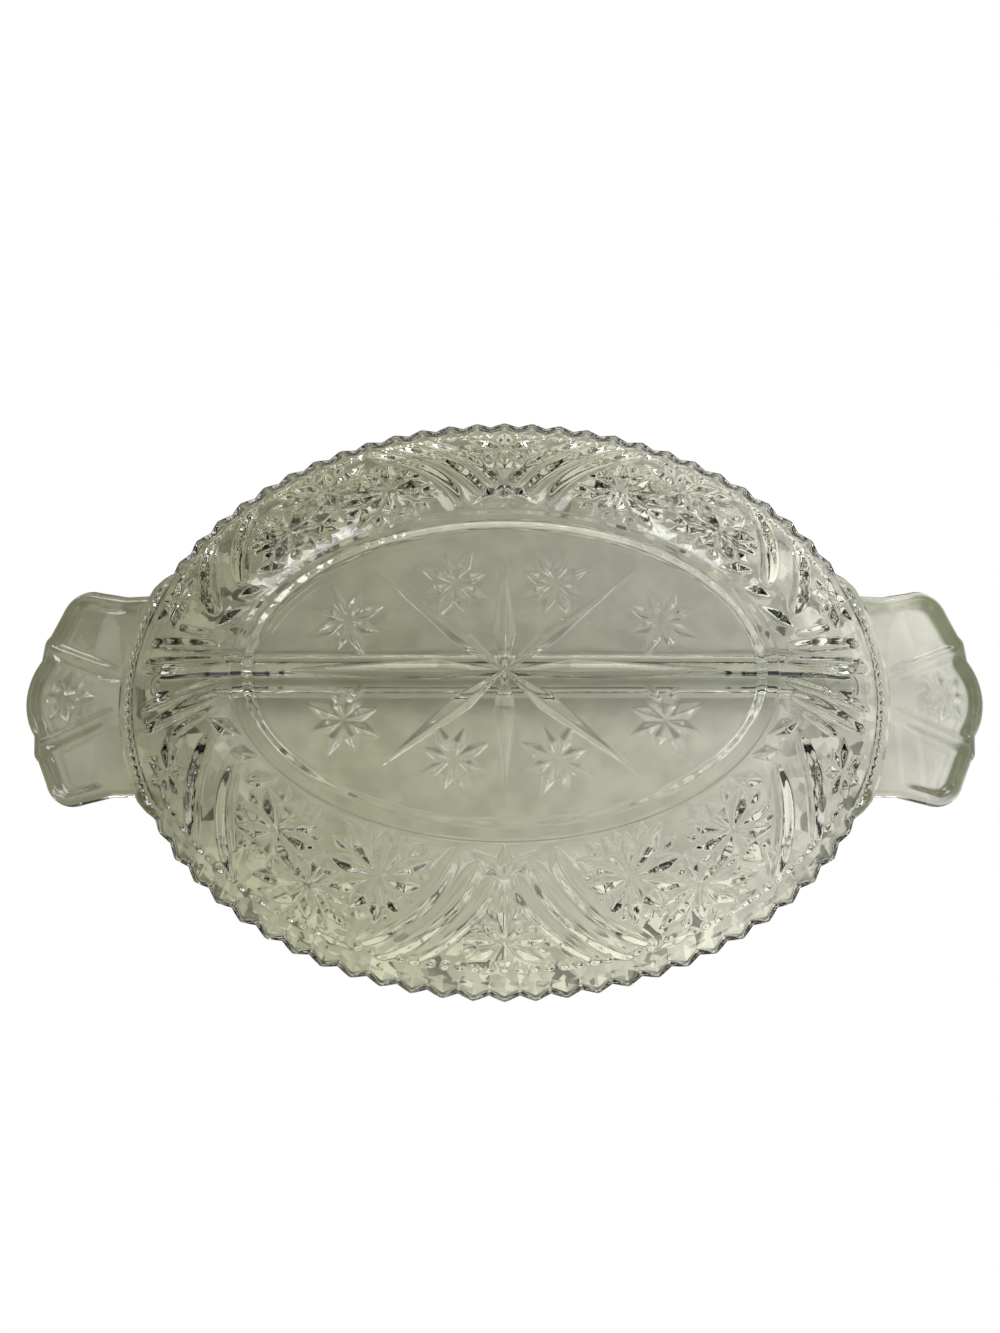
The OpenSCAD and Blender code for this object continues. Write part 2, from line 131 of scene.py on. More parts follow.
FAN_HALF, FAN_DEPTH, FAN_BELLY_SHARE = 2.2, 1.6, 0.5
NECK_RISE_SHARE, AT_NECK_SHARE = 0.1, 0.9999
EDGE_MOST_SHARE = 0.6

# Divider, with the degrees of the steps round its top and up its foot's fillet
DIV_BASE, DIV_TOP = 7.0, 4.0
DIV_H = node_box("divider")[1][2]
DIV_TOP_DEG = (0, 24, 48, 70, 90)
FILLET_R = 2.6
FILLET_DEG = (86, 70, 54, 38, 20, 2)
BAND_LEVEL_SHARE = 0.4
BLEND_BACK, BLEND_STOP = 6, 0.5

# Mesh density. Towards its middle the floor has fewer columns: up to each share
# of its reach, one in so many
TOOTH_COLUMNS = 7
FADE_COLUMNS = 10
NECK_COLUMNS = 2
HANDLE_COLUMNS = 59
FLOOR_ROWS = 96
THIN_SHARES = [(0.07, 16), (0.14, 8), (0.3, 4), (1.0, 2)]
WALL_ROWS = 88
RIM_STEPS = 11
RIM_STEPS_SHARE = 0.957
HANDLE_ROWS = 58
HANDLE_EDGE_ROWS = 7
WELL_ROWS = 64
BAND_HALF = len(DIV_TOP_DEG) + 1 + len(FILLET_DEG)
RUN_SAMPLES = 9001
FLUTE_SAMPLES = 61
WALL_SAMPLES = 400
HALVINGS = 40
OUT_LIMITS = (-0.95, 1.3)


def along(phi, out):
    """Plan position on the wall: phi is the ellipse's angle in radians, out the share out."""
    return np.stack([(RING_A + FLARE_A * out) * np.cos(phi), (RING_B + FLARE_B * out) * np.sin(phi)], -1)


def place(phi_deg, out):
    return along(math.radians(phi_deg), out)


def outside_z(out):
    return RING_H + (EDGE_H - RING_H) * np.maximum(out, 0) ** WALL_BOW


def inside_z(out):
    out = np.maximum(out, 0)
    return outside_z(out) + (FLOOR_TOP - RING_H) + (WALL_T - FLOOR_TOP + RING_H) * out / INNER_SHARE


def out_at(x, y):
    """Share out of a place in plan, below 0 inside the ring."""
    low = np.full(x.shape, OUT_LIMITS[0])
    high = np.full(x.shape, OUT_LIMITS[1])
    for _ in range(HALVINGS):
        mid = (low + high) / 2
        past = (x / (RING_A + FLARE_A * mid)) ** 2 + (y / (RING_B + FLARE_B * mid)) ** 2 > 1
        low = np.where(past, mid, low)
        high = np.where(past, high, mid)
    return (low + high) / 2


def smooth_step(low, high, x):
    t = np.clip((x - low) / (high - low), 0, 1)
    return t * t * (3 - 2 * t)


# Columns of one quarter, from the middle of a long side to a handle's middle
fine_phi = np.radians(np.linspace(90, 0, RUN_SAMPLES))
fine_run = np.concatenate([[0], np.cumsum(np.hypot(*np.diff(along(fine_phi, 1.0), axis=0).T))])


def run_of(phi_deg):
    """Distance along the rim from the middle of a long side."""
    return np.interp(90 - phi_deg, np.linspace(0, 90, RUN_SAMPLES), fine_run)


neck_phi = math.degrees(math.asin(NECK_HALF / RIM_B))
tooth_end = HALF_TEETH / 2 * PITCH
quarter_runs = np.concatenate([
    np.linspace(0, tooth_end, HALF_TEETH * TOOTH_COLUMNS + 1)[:-1],
    np.linspace(tooth_end, run_of(ROOT_PHI), FADE_COLUMNS + 1)[:-1],
    np.linspace(run_of(ROOT_PHI), run_of(neck_phi), NECK_COLUMNS + 1)[:-1],
    np.linspace(run_of(neck_phi), fine_run[-1], HANDLE_COLUMNS + 1),
])
quarter_phi = np.interp(quarter_runs, fine_run, fine_phi)
per_quarter = len(quarter_runs) - 1


def to_notch(phase):
    """Share of the way from a tooth's tip, 0, to the notch, 1."""
    return 2 * np.abs(phase - np.round(phase))


def column_teeth():
    """Per column of the quarter: how much of a tooth it has and how far the handle's root has begun."""
    phase = quarter_runs / PITCH
    tooth = 1 + TIP_ROUND * TIP_GAIN - np.sqrt(to_notch(phase) ** 2 + TIP_ROUND ** 2)
    tooth = np.clip(tooth, 0, 1)
    tooth *= np.where(phase > HALF_TEETH / 2 - 1, LAST_TOOTH_SHARE, 1)
    tooth[phase >= HALF_TEETH / 2] = 0
    deg = np.degrees(quarter_phi)
    start = np.degrees(np.interp(tooth_end, fine_run, fine_phi))
    root = np.interp(-deg, [-start, -FADE_PHI, -ROOT_PHI], [0, 0.5, 1])
    return tooth, root


quarter_tooth, quarter_root = column_teeth()
falling, rising = np.arange(per_quarter, 0, -1), np.arange(per_quarter)
column_index = np.concatenate([falling, rising, falling, rising])
quarter_of = np.repeat(np.arange(4), per_quarter)
base_phi = quarter_phi[column_index]
column_phi = np.select(
    [quarter_of == 0, quarter_of == 1, quarter_of == 2],
    [base_phi, math.pi - base_phi, math.pi + base_phi], 2 * math.pi - base_phi)
column_tooth = quarter_tooth[column_index]
column_root = quarter_root[column_index]
column_phase = quarter_runs[column_index] / PITCH
column_count = 4 * per_quarter
handle_column = column_index >= per_quarter - HANDLE_COLUMNS


class Pressing:
    """Collects the points and faces of the glass."""

    def __init__(self):
        self.points = []
        self.faces = []
        self.count = 0

    def add(self, points):
        points = np.asarray(points, float).reshape(-1, 3)
        self.points.append(points)
        index = np.arange(self.count, self.count + len(points))
        self.count += len(points)
        return index

    def all_points(self):
        return np.concatenate(self.points)

    def bridge(self, a, b, closed=True):
        """Quads between two rows, or a stitch of triangles where b has half of a's points."""
        if closed:
            a = np.append(a, a[0])
            b = np.append(b, b[0])
        if len(a) == len(b):
            self.faces += np.stack([a[:-1], a[1:], b[1:], b[:-1]], 1).tolist()
            return
        fine0, fine1, fine2 = a[:-1:2], a[1::2], a[2::2]
        self.faces += np.stack([fine0, fine1, b[:-1]], 1).tolist()
        self.faces += np.stack([fine1, b[1:], b[:-1]], 1).tolist()
        self.faces += np.stack([fine1, fine2, b[1:]], 1).tolist()

    def join(self, a, b):
        """Bridges two closed rows of which either may be the finer."""
        if len(a) < len(b):
            self.bridge(b, a)
        else:
            self.bridge(a, b)

    def grid(self, rows):
        for a, b in zip(rows[:-1], rows[1:]):
            self.bridge(a, b, closed=False)


# Relief under the floor and outside the wall, as a depth at each place in plan.
# It is the same in all four quarters. A kite's belly is a share of its length.
KITE_BELLY_SHARE = 0.42
CREASE_R = 0.1


def ray_depth(x, y, start, tip, half, deep, belly=KITE_BELLY_SHARE):
    """A kite pressed to a crease, deepest at its belly."""
    axis = np.subtract(tip, start)
    length = math.hypot(*axis)
    axis = axis / length
    s = (x - start[0]) * axis[0] + (y - start[1]) * axis[1]
    t = (y - start[1]) * axis[0] - (x - start[0]) * axis[1]
    near = belly * length
    ahead = np.where(s > near, (s - near) / (length - near), (near - s) / near)
    gauge = (np.sqrt(t * t + CREASE_R * CREASE_R) - CREASE_R) / half + ahead
    return deep * np.clip(1 - gauge, 0, None)


def fan_tip(middle, deg, reach):
    return (middle[0] + reach * math.cos(math.radians(deg)), middle[1] + reach * math.sin(math.radians(deg)))


# A crisp flute's bed falls off with this power of its distance squared. A flute
# swells from its ends by the power given, and is left out where it is thinnest
CRISP_POWER = 0.7
SWELL_POWER = 4
THINNEST_SHARE = 0.05


def flute_depth_at(x, y, path, half, deep, soft):
    """A hollow along a bent path: a soft wave, or a round bed with a crisp edge."""
    t = np.linspace(0, 1, FLUTE_SAMPLES)[:, None]
    first, middle, last = (np.array(p) for p in path)
    course = (1 - t) ** 2 * first + 2 * t * (1 - t) * middle + t ** 2 * last
    line = along(np.radians(course[:, 0]), course[:, 1])
    swell = np.sqrt(np.clip(1 - (2 * t[:, 0] - 1) ** SWELL_POWER, 0, 1))
    depth = np.zeros(x.shape)
    box = ((x > line[:, 0].min() - half) & (x < line[:, 0].max() + half)
           & (y > line[:, 1].min() - half) & (y < line[:, 1].max() + half))
    px, py = x[box], y[box]
    best = np.zeros(px.shape)
    for (cx, cy), size in zip(line, swell):
        if size > THINNEST_SHARE:
            gap = ((px - cx) ** 2 + (py - cy) ** 2) / (half * size) ** 2
            if soft:
                bed = 0.5 + 0.5 * np.cos(math.pi * np.sqrt(np.clip(gap, 0, 1)))
            else:
                bed = 1 - gap ** CRISP_POWER
            best = np.maximum(best, deep * size * bed)
    depth[box] = best
    return depth


# Stars of a quarter of the wall: middle and ray tips as degrees and share out,
# and the half width that their size goes by
STAR_SHARES = [
    ([67.4, 0.3], [[70.4, 0.03], [65.4, 0.03], [57.3, 0.04], [56.8, 0.28], [57.4, 0.49],
                   [63.8, 0.55], [69.2, 0.6], [73.4, 0.52], [76, 0.3], [76.3, 0.13]], 2.3),
    ([56.2, 0.5], [[56.2, 0.27], [51.5, 0.4], [46, 0.64], [51.6, 0.73], [58.4, 0.73], [65.4, 0.67],
                   [63.6, 0.53]], 1.9),
    ([45.4, 0.31], [[54.6, 0.27], [53.6, 0.1], [46.4, 0.05], [37.3, 0.12], [35.6, 0.33],
                    [38.4, 0.46], [44.2, 0.6], [53, 0.47]], 2.3),
    ([90, 0.59], [[90, 0.27], [86.4, 0.46], [93.6, 0.46], [83, 0.58], [97, 0.58], [84, 0.72],
                  [96, 0.72], [90, 0.81]], 1.6),
    ([19.8, 0.655], [[12.6, 0.56], [16.6, 0.5], [22.5, 0.51], [25.5, 0.65], [24.6, 0.79],
                     [19.6, 0.83], [14.6, 0.79]], 1.5),
]
# Kites that stand alone: start, tip, half width
LONE_RAY_SHARES = [
    ([90, 0.21], [90, 0.01], 2.2), ([90, 0.21], [83.4, 0.05], 2.0), ([90, 0.21], [96.6, 0.05], 2.0),
    ([32.5, 0.2], [38, 0.03], 2.0), ([24, 0.16], [30, 0.02], 1.8), ([13.5, 0.2], [23, 0.03], 1.9),
    ([61.6, 0.22], [61.6, 0.02], 2.0), ([50.2, 0.22], [50.2, 0.02], 2.0),
    ([42, 0.52], [40.5, 0.74], 1.9), ([60, 0.76], [68, 0.8], 1.3), ([47, 0.74], [54, 0.79], 1.3),
]
LONE_SLOPE = 0.85
# Flutes: three places each, half width, depth, soft or crisp
FLUTE_SHARES = [
    ([[80.3, 0.06], [78, 0.38], [66.8, 0.76]], 2.9, 1.9, True),
    ([[84.8, 0.13], [81.6, 0.44], [70.6, 0.8]], 3.1, 2.1, True),
    ([[88.2, 0.2], [85.6, 0.44], [75.6, 0.78]], 2.6, 1.7, True),
    ([[18.2, 0.24], [25, 0.5], [34.6, 0.78]], 2.5, 2.4, False),
    ([[28.2, 0.2], [34, 0.45], [44.3, 0.76]], 2.5, 2.4, False),
    ([[3.4, 0.05], [4.4, 0.4], [5.2, 0.76]], 1.5, 1.1, True),
    ([[7.6, 0.1], [8.6, 0.42], [9.6, 0.75]], 2.0, 1.7, True),
    ([[11.6, 0.2], [12.4, 0.4], [13.2, 0.5]], 1.2, 0.9, True),
]
# The stars' rays. The depth is that of a star of this half width and of a ray
# of this length or more
STAR_HALF = 2.1
STAR_LENGTH = 8
STAR_BELLY_SHARE, STAR_WIDE, STAR_DEPTH = 0.58, 1.24, 2.6
STAR_BACK_SHARE = 0.03
# The shorter rays between them, on the larger stars and where there is room
BETWEEN_SHARES, BETWEEN_WIDE, BETWEEN_DEPTH = (0.56, 1.04), 0.6, 1.25
BETWEEN_LEAST_HALF = 1.55
# V cuts through the notches, the row of dimples that ends them and the handles' row of beads
VEE_DEPTH, VEE_SHARES, VEE_EDGE_SHARE = 2.5, (0.79, 0.92), 0.4
DIMPLE_DEPTH, DIMPLE_HALF, DIMPLE_HALF_OUT, DIMPLE_SHARE = 1.0, 1.2, 1.0, 0.765
BEAD_PITCH, BEAD_SIZE, BEAD_SHARE, BEAD_DEPTH = 2.5, 1.25, 0.912, 1.2
WALL_FOOT_SHARE = 0.03


def toothed(root):
    """1 beside the teeth, 0 where a handle's root has half begun."""
    return np.clip(1 - 2 * root, 0, 1)


def groove_depth(phase, root):
    """Depth of the cut that runs out through a notch, by the place between two tips."""
    return VEE_DEPTH * to_notch(phase) * toothed(root) * (phase < HALF_TEETH / 2)


def star_rays():
    """All the stars' rays as start, end, half width, depth, with a shorter one between each two."""
    rays = []
    for middle, tips, half in STAR_SHARES:
        start = place(*middle)
        arms = [place(*tip) - start for tip in tips]
        arms.sort(key=lambda arm: math.atan2(arm[1], arm[0]))
        for arm, following in zip(arms, arms[1:] + arms[:1]):
            length, next_length = math.hypot(*arm), math.hypot(*following)
            deep = STAR_DEPTH * min(1, length / STAR_LENGTH) * half / STAR_HALF
            rays.append((start - arm * STAR_BACK_SHARE, start + arm, half * STAR_WIDE, deep))
            between = arm / length + following / next_length
            spread = math.hypot(*between)
            if spread > 1 and half > BETWEEN_LEAST_HALF:
                reach = between / spread * (length + next_length) / 2
                first, last = (start + reach * share for share in BETWEEN_SHARES)
                rays.append((first, last, half * BETWEEN_WIDE, BETWEEN_DEPTH * half / STAR_HALF))
    return rays


STAR_RAYS = star_rays()


def bump_depth(across, out, half, share, half_out):
    """A round hollow: 1 at its middle, 0 past its edge."""
    return np.clip(1 - (across / half) ** 2 - ((out - share) * FLARE / half_out) ** 2, 0, None)


def wall_relief(x, y, out, phase, root):
    ax, ay = np.abs(x), np.abs(y)
    depth = np.zeros(x.shape)
    for start, end, half, deep in STAR_RAYS:
        depth = np.maximum(depth, ray_depth(ax, ay, start, end, half, deep, STAR_BELLY_SHARE))
    for start, tip, half in LONE_RAY_SHARES:
        depth = np.maximum(depth, ray_depth(ax, ay, place(*start), place(*tip), half, LONE_SLOPE * half))
    for path, half, deep, soft in FLUTE_SHARES:
        depth = np.maximum(depth, flute_depth_at(ax, ay, path, half, deep, soft))
    depth = np.maximum(depth, smooth_step(*VEE_SHARES, out) * groove_depth(phase, root))
    half_phase = np.abs(2 * phase - np.round(2 * phase)) / 2 * PITCH
    dimple = bump_depth(half_phase, out, DIMPLE_HALF, DIMPLE_SHARE, DIMPLE_HALF_OUT)
    depth = np.maximum(depth, DIMPLE_DEPTH * dimple * toothed(root))
    turn = (fine_run[-1] - phase * PITCH) / BEAD_PITCH - 0.5
    bead = bump_depth((turn - np.round(turn)) * BEAD_PITCH, out, BEAD_SIZE, BEAD_SHARE, BEAD_SIZE)
    depth = np.maximum(depth, BEAD_DEPTH * bead * root)
    return depth * smooth_step(0.0, WALL_FOOT_SHARE, out)


# Floor: the big star's rays as degrees, reach, half width, and the small stars
# as shares of the ring with their turn in degrees
BIG_RAYS = [(0, 52, 2.2), (90, 28.5, 2.4), (38, 39, 2.0)]
BIG_DEPTH, BIG_BELLY_SHARE = 1.9, 0.3
SMALL_STAR_SHARES = [((0.58, 0.3), 20), ((0.186, 0.53), -20)]
SMALL_RAYS = 8
SMALL_REACH, SMALL_SHORT_SHARE = 9.5, 0.82
SMALL_HALF, SMALL_DEPTH, SMALL_BELLY_SHARE = 1.5, 1.3, 0.5


def floor_relief(x, y):
    ax, ay = np.abs(x), np.abs(y)
    depth = np.zeros(x.shape)
    for deg, reach, half in BIG_RAYS:
        tip = fan_tip((0, 0), deg, reach)
        depth = np.maximum(depth, ray_depth(ax, ay, (0, 0), tip, half, BIG_DEPTH, BIG_BELLY_SHARE))
    for (share_x, share_y), turn in SMALL_STAR_SHARES:
        middle = (share_x * RING_A, share_y * RING_B)
        for i in range(SMALL_RAYS):
            reach = SMALL_REACH * (1 if i % 2 else SMALL_SHORT_SHARE)
            tip = fan_tip(middle, turn + 360 / SMALL_RAYS * i, reach)
            ray = ray_depth(ax, ay, middle, tip, SMALL_HALF, SMALL_DEPTH, SMALL_BELLY_SHARE)
            depth = np.maximum(depth, ray)
    return depth


# Handle outline on one side, from the rim to the tip
def arc(x, y, r, first, last, n):
    deg = np.radians(np.linspace(first, last, n + 1))
    return np.stack([x + r * np.cos(deg), y + r * np.sin(deg)], 1)


LOBE_X = TIP_X - MID_R
LOBE_Y = NECK_HALF + LOBE_OUT - LOBE_R
BEAD_X = TIP_X - BEAD_BACK
BEAD_Y = LOBE_Y - BEAD_IN
NECK_X = RIM_A * math.cos(math.radians(neck_phi))
SWEEP_X = RIM_A * math.cos(math.radians(ROOT_PHI))
outline = np.concatenate([
    [[NECK_X, NECK_HALF], [RIM_A + NECK_RUN, NECK_HALF]],
    arc(LOBE_X, LOBE_Y, LOBE_R, *LOBE_ARC),
    arc(BEAD_X, BEAD_Y, BEAD_R, *BEAD_ARC),
    arc(LOBE_X, 0, MID_R, *MID_ARC),
])
outline_run = np.concatenate([[0], np.cumsum(np.hypot(*np.diff(outline, axis=0).T))])


def line_gap(x, y, start, end):
    """Distance from a straight line between two points."""
    dx, dy = end[0] - start[0], end[1] - start[1]
    t = np.clip(((x - start[0]) * dx + (y - start[1]) * dy) / (dx * dx + dy * dy), 0, 1)
    return np.hypot(x - start[0] - t * dx, y - start[1] - t * dy)


def outline_gap(x, y):
    """Distance from the handle's free edge."""
    gaps = [line_gap(x, np.abs(y), start, end) for start, end in zip(outline[:-1], outline[1:])]
    return np.minimum.reduce(gaps)


def handle_low(x):
    reach = np.clip((x - SWEEP_X) / (TIP_X - SWEEP_X), 0, None)
    return RIM_H - HANDLE_T + HANDLE_UP * reach ** SWEEP_BOW


RIB_ROOT = (RIM_A + PANEL_GAP, RIB_ROOT_Y)
RIB_END = (BEAD_X + RIB_END_OUT, BEAD_Y - RIB_END_OUT)
FAN_MIDDLE = (TIP_X - FAN_BACK, 0)


def slope_from(edge, slope, x):
    """0 before an edge and 1 past it, over the slope's two distances from it."""
    return smooth_step(edge + slope[0], edge + slope[1], x)


def handle_relief(x, y, gap):
    """Sunk panels between the border, the root and the ribs, and a fan at the tip."""
    ay = np.abs(y)
    sunk = slope_from(PANEL_BORDER, BORDER_SLOPE, gap)
    sunk = sunk * slope_from(RIM_A + PANEL_GAP, ROOT_SLOPE, x)
    sunk = sunk * slope_from(RIB_W / 2, RIB_SLOPE, line_gap(x, ay, RIB_ROOT, RIB_END))
    fan = np.zeros(x.shape)
    for deg, reach in FAN_RAYS:
        tip = fan_tip(FAN_MIDDLE, deg, reach)
        fan = np.maximum(fan, ray_depth(x, ay, FAN_MIDDLE, tip, FAN_HALF, FAN_DEPTH, FAN_BELLY_SHARE))
    return PANEL_DEPTH * sunk + fan


glass = Pressing()


# Lower side, from the middle of the floor to the rim
def oval_row(columns, half_a, half_b, z):
    phi = column_phi[::column_count // columns]
    return np.stack([half_a * np.cos(phi), half_b * np.sin(phi), np.full(columns, z)], 1)


def ring_profile():
    """Insets from the band's inner edge and heights."""
    profile = []
    for i in range(RING_SLOPE_STEPS + 1):
        t = i / RING_SLOPE_STEPS
        inset = RING_SLOPE_FROM + (RING_SLOPE_TO - RING_SLOPE_FROM) * t
        profile.append((inset, RING_H * (0.5 + 0.5 * math.cos(math.pi * t))))
    profile += [(inset, 0.0) for inset in RING_SOLE]
    return profile + [(RING_BAND - back, z) for back, z in RING_OUTER]


def floor_and_ring():
    inner_a, inner_b = RING_A - RING_BAND, RING_B - RING_BAND
    centre = glass.add([[0, 0, RING_H + floor_relief(np.zeros(1), np.zeros(1))[0]]])[0]
    last = None
    for i in range(1, FLOOR_ROWS):
        share = i / FLOOR_ROWS
        thin = next(every for limit, every in THIN_SHARES if share < limit)
        reach = i / (FLOOR_ROWS - 1)
        flat_a, flat_b = inner_a - FLAT_INSET, inner_b - FLAT_INSET
        row = oval_row(column_count // thin, flat_a * reach, flat_b * reach, RING_H)
        row[:, 2] += floor_relief(row[:, 0], row[:, 1])
        index = glass.add(row)
        if last is None:
            glass.faces += [[centre, a, b] for a, b in zip(index, np.roll(index, -1))]
        else:
            glass.join(last, index)
        last = index
    for inset, z in ring_profile():
        index = glass.add(oval_row(column_count // 2, inner_a + inset, inner_b + inset, z))
        glass.bridge(last, index)
        last = index
    return last


def relief_at(points, out):
    """The wall's relief for one row of points that lie at one share out."""
    level = np.full(column_count, out)
    return wall_relief(points[:, 0], points[:, 1], level, column_phase, column_root)


def wall_rows(last):
    for i in range(1, WALL_ROWS + 1):
        out = LIP_FOOT_SHARE * i / WALL_ROWS
        plan = along(column_phi, out)
        index = glass.add(np.column_stack([plan, outside_z(out) + relief_at(plan, out)]))
        glass.join(last, index)
        last = index
    return last


# The rim's section: a row of points for each of its corners, from the lip to
# the inner edge of its top
def rim_corners():
    tooth, root = column_tooth, column_root
    out_tip = 1 - TOOTH_OUT / FLARE * (1 - tooth)
    low = RIM_H - BEVEL_H - TOOTH_FACE_H - TOOTH_UP * (1 - tooth)
    face = low + TOOTH_FACE_H
    sections = []
    rows = [
        (out_tip - LIP_W / FLARE, low - LIP_DROP, 1 - LIP_W / FLARE, RIM_H - ROOT_FACE_H - LIP_DROP),
        (out_tip, low, 1.0, RIM_H - ROOT_FACE_H),
        (out_tip - EDGE_BEVEL_W / FLARE, face, 1.0, RIM_H),
        (out_tip - BEVEL_W / FLARE, face + BEVEL_H, 1 - BEVEL_W / FLARE, RIM_H),
    ]
    for out, z, root_out, root_z in rows:
        out = out * (1 - root) + root_out * root
        z = z * (1 - root) + root_z * root
        sections.append(np.column_stack([along(column_phi, out), z]))
    return sections


def toward(a, b, reach):
    """A point from a towards b, no further than a share of the way."""
    span = b - a
    length = np.maximum(np.linalg.norm(span, axis=1, keepdims=True), NO_LENGTH)
    return a + span * np.minimum(reach / length, CORNER_MOST_SHARE)


def rounded(before, corner, after):
    first = toward(corner, before, CORNER_R)
    last = toward(corner, after, CORNER_R)
    return [first, (first + last + 2 * corner) / 4, last]


lip, edge, face_top, bevel = rim_corners()
smooth_lip = lip.copy()
groove = groove_depth(column_phase, column_root)
lip[:, 2] += groove
edge[:, 2] += groove * VEE_EDGE_SHARE
inner_top = np.column_stack([along(column_phi, INNER_SHARE), np.full(column_count, inside_z(INNER_SHARE))])


def rim_rows(last):
    """Rows up to the rim's edge, then those from the top of its face inwards. The handles go between."""
    foot_z = np.full(column_count, outside_z(LIP_FOOT_SHARE))
    plain = np.column_stack([along(column_phi, LIP_FOOT_SHARE), foot_z])
    rows = []
    for i in range(1, RIM_STEPS):
        share = i / RIM_STEPS
        row = plain * (1 - share) + smooth_lip * share
        row[:, 2] += relief_at(row, LIP_FOOT_SHARE + (RIM_STEPS_SHARE - LIP_FOOT_SHARE) * share)
        rows.append(row)
    rows += rounded(rows[-1], lip, edge)
    rows += rounded(lip, edge, face_top)
    for row in rows:
        index = glass.add(row)
        glass.bridge(last, index)
        last = index
    upper = [glass.add(row) for row in rounded(edge, face_top, bevel) + rounded(face_top, bevel, inner_top)]
    return last, upper


HANDLE_QUARTERS = {1: (3, 0), -1: (1, 2)}


def handle_ends(side, order):
    """A handle's columns: starts on the rim, ends on its outline, and shares of the way to its neck."""
    start = along(column_phi[order], 1.0)
    # Shares run with the rim's own length, so that columns stay even
    share = (fine_run[-1] - quarter_runs[column_index[order]]) / (fine_run[-1] - run_of(neck_phi))
    run = outline_run[-1] * (1 - share)
    end = np.stack([np.interp(run, outline_run, outline[:, axis]) for axis in (0, 1)], 1)
    end[:, 0] *= side
    end[:, 1] *= np.where(start[:, 1] < 0, -1, 1)
    return start, end, share


def handle_block(side, outer_row, inner_row):
    """The handle's flap, grown between the rim's edge row and the top of its face."""
    parts = [np.where(handle_column & (quarter_of == part))[0] for part in HANDLE_QUARTERS[side]]
    order = np.concatenate(parts)
    start, end, share = handle_ends(side, order)
    at_neck = share > AT_NECK_SHARE
    edge_z, top_z = (glass.all_points()[row[order], 2] for row in (outer_row, inner_row))
    length = np.hypot(*(end - start).T)
    half_t = HANDLE_T / 2
    edge_reach = np.minimum(half_t, EDGE_MOST_SHARE * length)
    theta = np.radians(np.linspace(0, 90, HANDLE_EDGE_ROWS + 1))
    away_rows = [(length - edge_reach) * (1 - i / HANDLE_ROWS) + edge_reach for i in range(HANDLE_ROWS)]
    away_rows += [edge_reach * (1 - math.sin(t)) for t in theta]
    low_rows, high_rows = [], []
    last_row = len(away_rows) - 1
    for k, away in enumerate(away_rows):
        back = np.divide(away, np.maximum(length, NO_LENGTH))[:, None]
        plan = start * back + end * (1 - back)
        x, y = np.abs(plan[:, 0]), plan[:, 1]
        gap = outline_gap(x, y)
        inside = np.clip(gap, 0, half_t)
        bull = half_t - np.sqrt(np.maximum(half_t ** 2 - (half_t - inside) ** 2, 0))
        base = handle_low(x)
        rise = NECK_RISE_SHARE + (1 - NECK_RISE_SHARE) * k / last_row
        mid = base + half_t
        low = np.where(at_neck, edge_z + (mid - edge_z) * rise, base + bull + handle_relief(x, y, gap))
        high = np.where(at_neck, top_z + (mid - top_z) * rise, base + HANDLE_T - bull)
        low_rows.append(glass.add(np.column_stack([plan, low])))
        if k < last_row:
            high_rows.append(glass.add(np.column_stack([plan, high])))
    rows = [outer_row[order]] + low_rows + high_rows[::-1] + [inner_row[order]]
    glass.grid(rows)
    # The ends of the flap close against the plain rim beside it
    for end_column, step in ((0, -1), (-1, 1)):
        beside = (order[end_column] + step) % column_count
        loop = [outer_row[beside]] + [row[end_column] for row in rows] + [inner_row[beside]]
        glass.faces.append([int(v) for v in loop])


def rim_face(outer_row, inner_row):
    """The rim's upright face where no handle grows."""
    following = np.roll(np.arange(column_count), -1)
    use = np.where(~(handle_column | handle_column[following]))[0]
    nxt = following[use]
    glass.faces += np.stack([outer_row[use], outer_row[nxt], inner_row[nxt], inner_row[use]], 1).tolist()


# Inside of the bowl: two wells and the band that carries the divider
def divider_section(x, bowl_z):
    """Half profile of the bar at x, from its middle to the edge of the band."""
    half_base, half_top = DIV_BASE / 2, DIV_TOP / 2
    rise = (np.maximum(bowl_z, FLOOR_TOP) - FLOOR_TOP) / (DIV_H - FLOOR_TOP)
    foot_y = half_base + (half_top - half_base) * np.clip(rise, 0, 1)
    ys, zs = [], []
    for deg in DIV_TOP_DEG:
        ys.append(np.full(x.shape, half_top * math.sin(math.radians(deg))))
        zs.append(np.full(x.shape, DIV_H - half_top * (1 - math.cos(math.radians(deg)))))
    ys.append((foot_y + half_top) / 2)
    zs.append((bowl_z + DIV_H - half_top) / 2)
    for deg in FILLET_DEG:
        ys.append(foot_y + FILLET_R * (1 - math.sin(math.radians(deg))))
        zs.append(bowl_z + FILLET_R * (1 - math.cos(math.radians(deg))))
    return ys, zs


def well(above, start, end):
    """One well as rows from the ring of points above it to the divider's foot, which it returns.

    The outermost columns have no length, so every row ends in the ring's own points.
    """
    for i in range(1, WELL_ROWS + 1):
        v = i / WELL_ROWS
        plan = start * (1 - v) + end * v
        added = glass.add(np.column_stack([plan, inside_z(out_at(plan[:, 0], plan[:, 1]))])[1:-1])
        line = np.concatenate([above[:1], added, above[-1:]])
        ends = [[above[0], above[1], line[1]], [above[-1], above[-2], line[-2]]]
        glass.faces += np.array(ends).tolist()
        glass.grid([above[1:-1], line[1:-1]])
        above = line
    return above


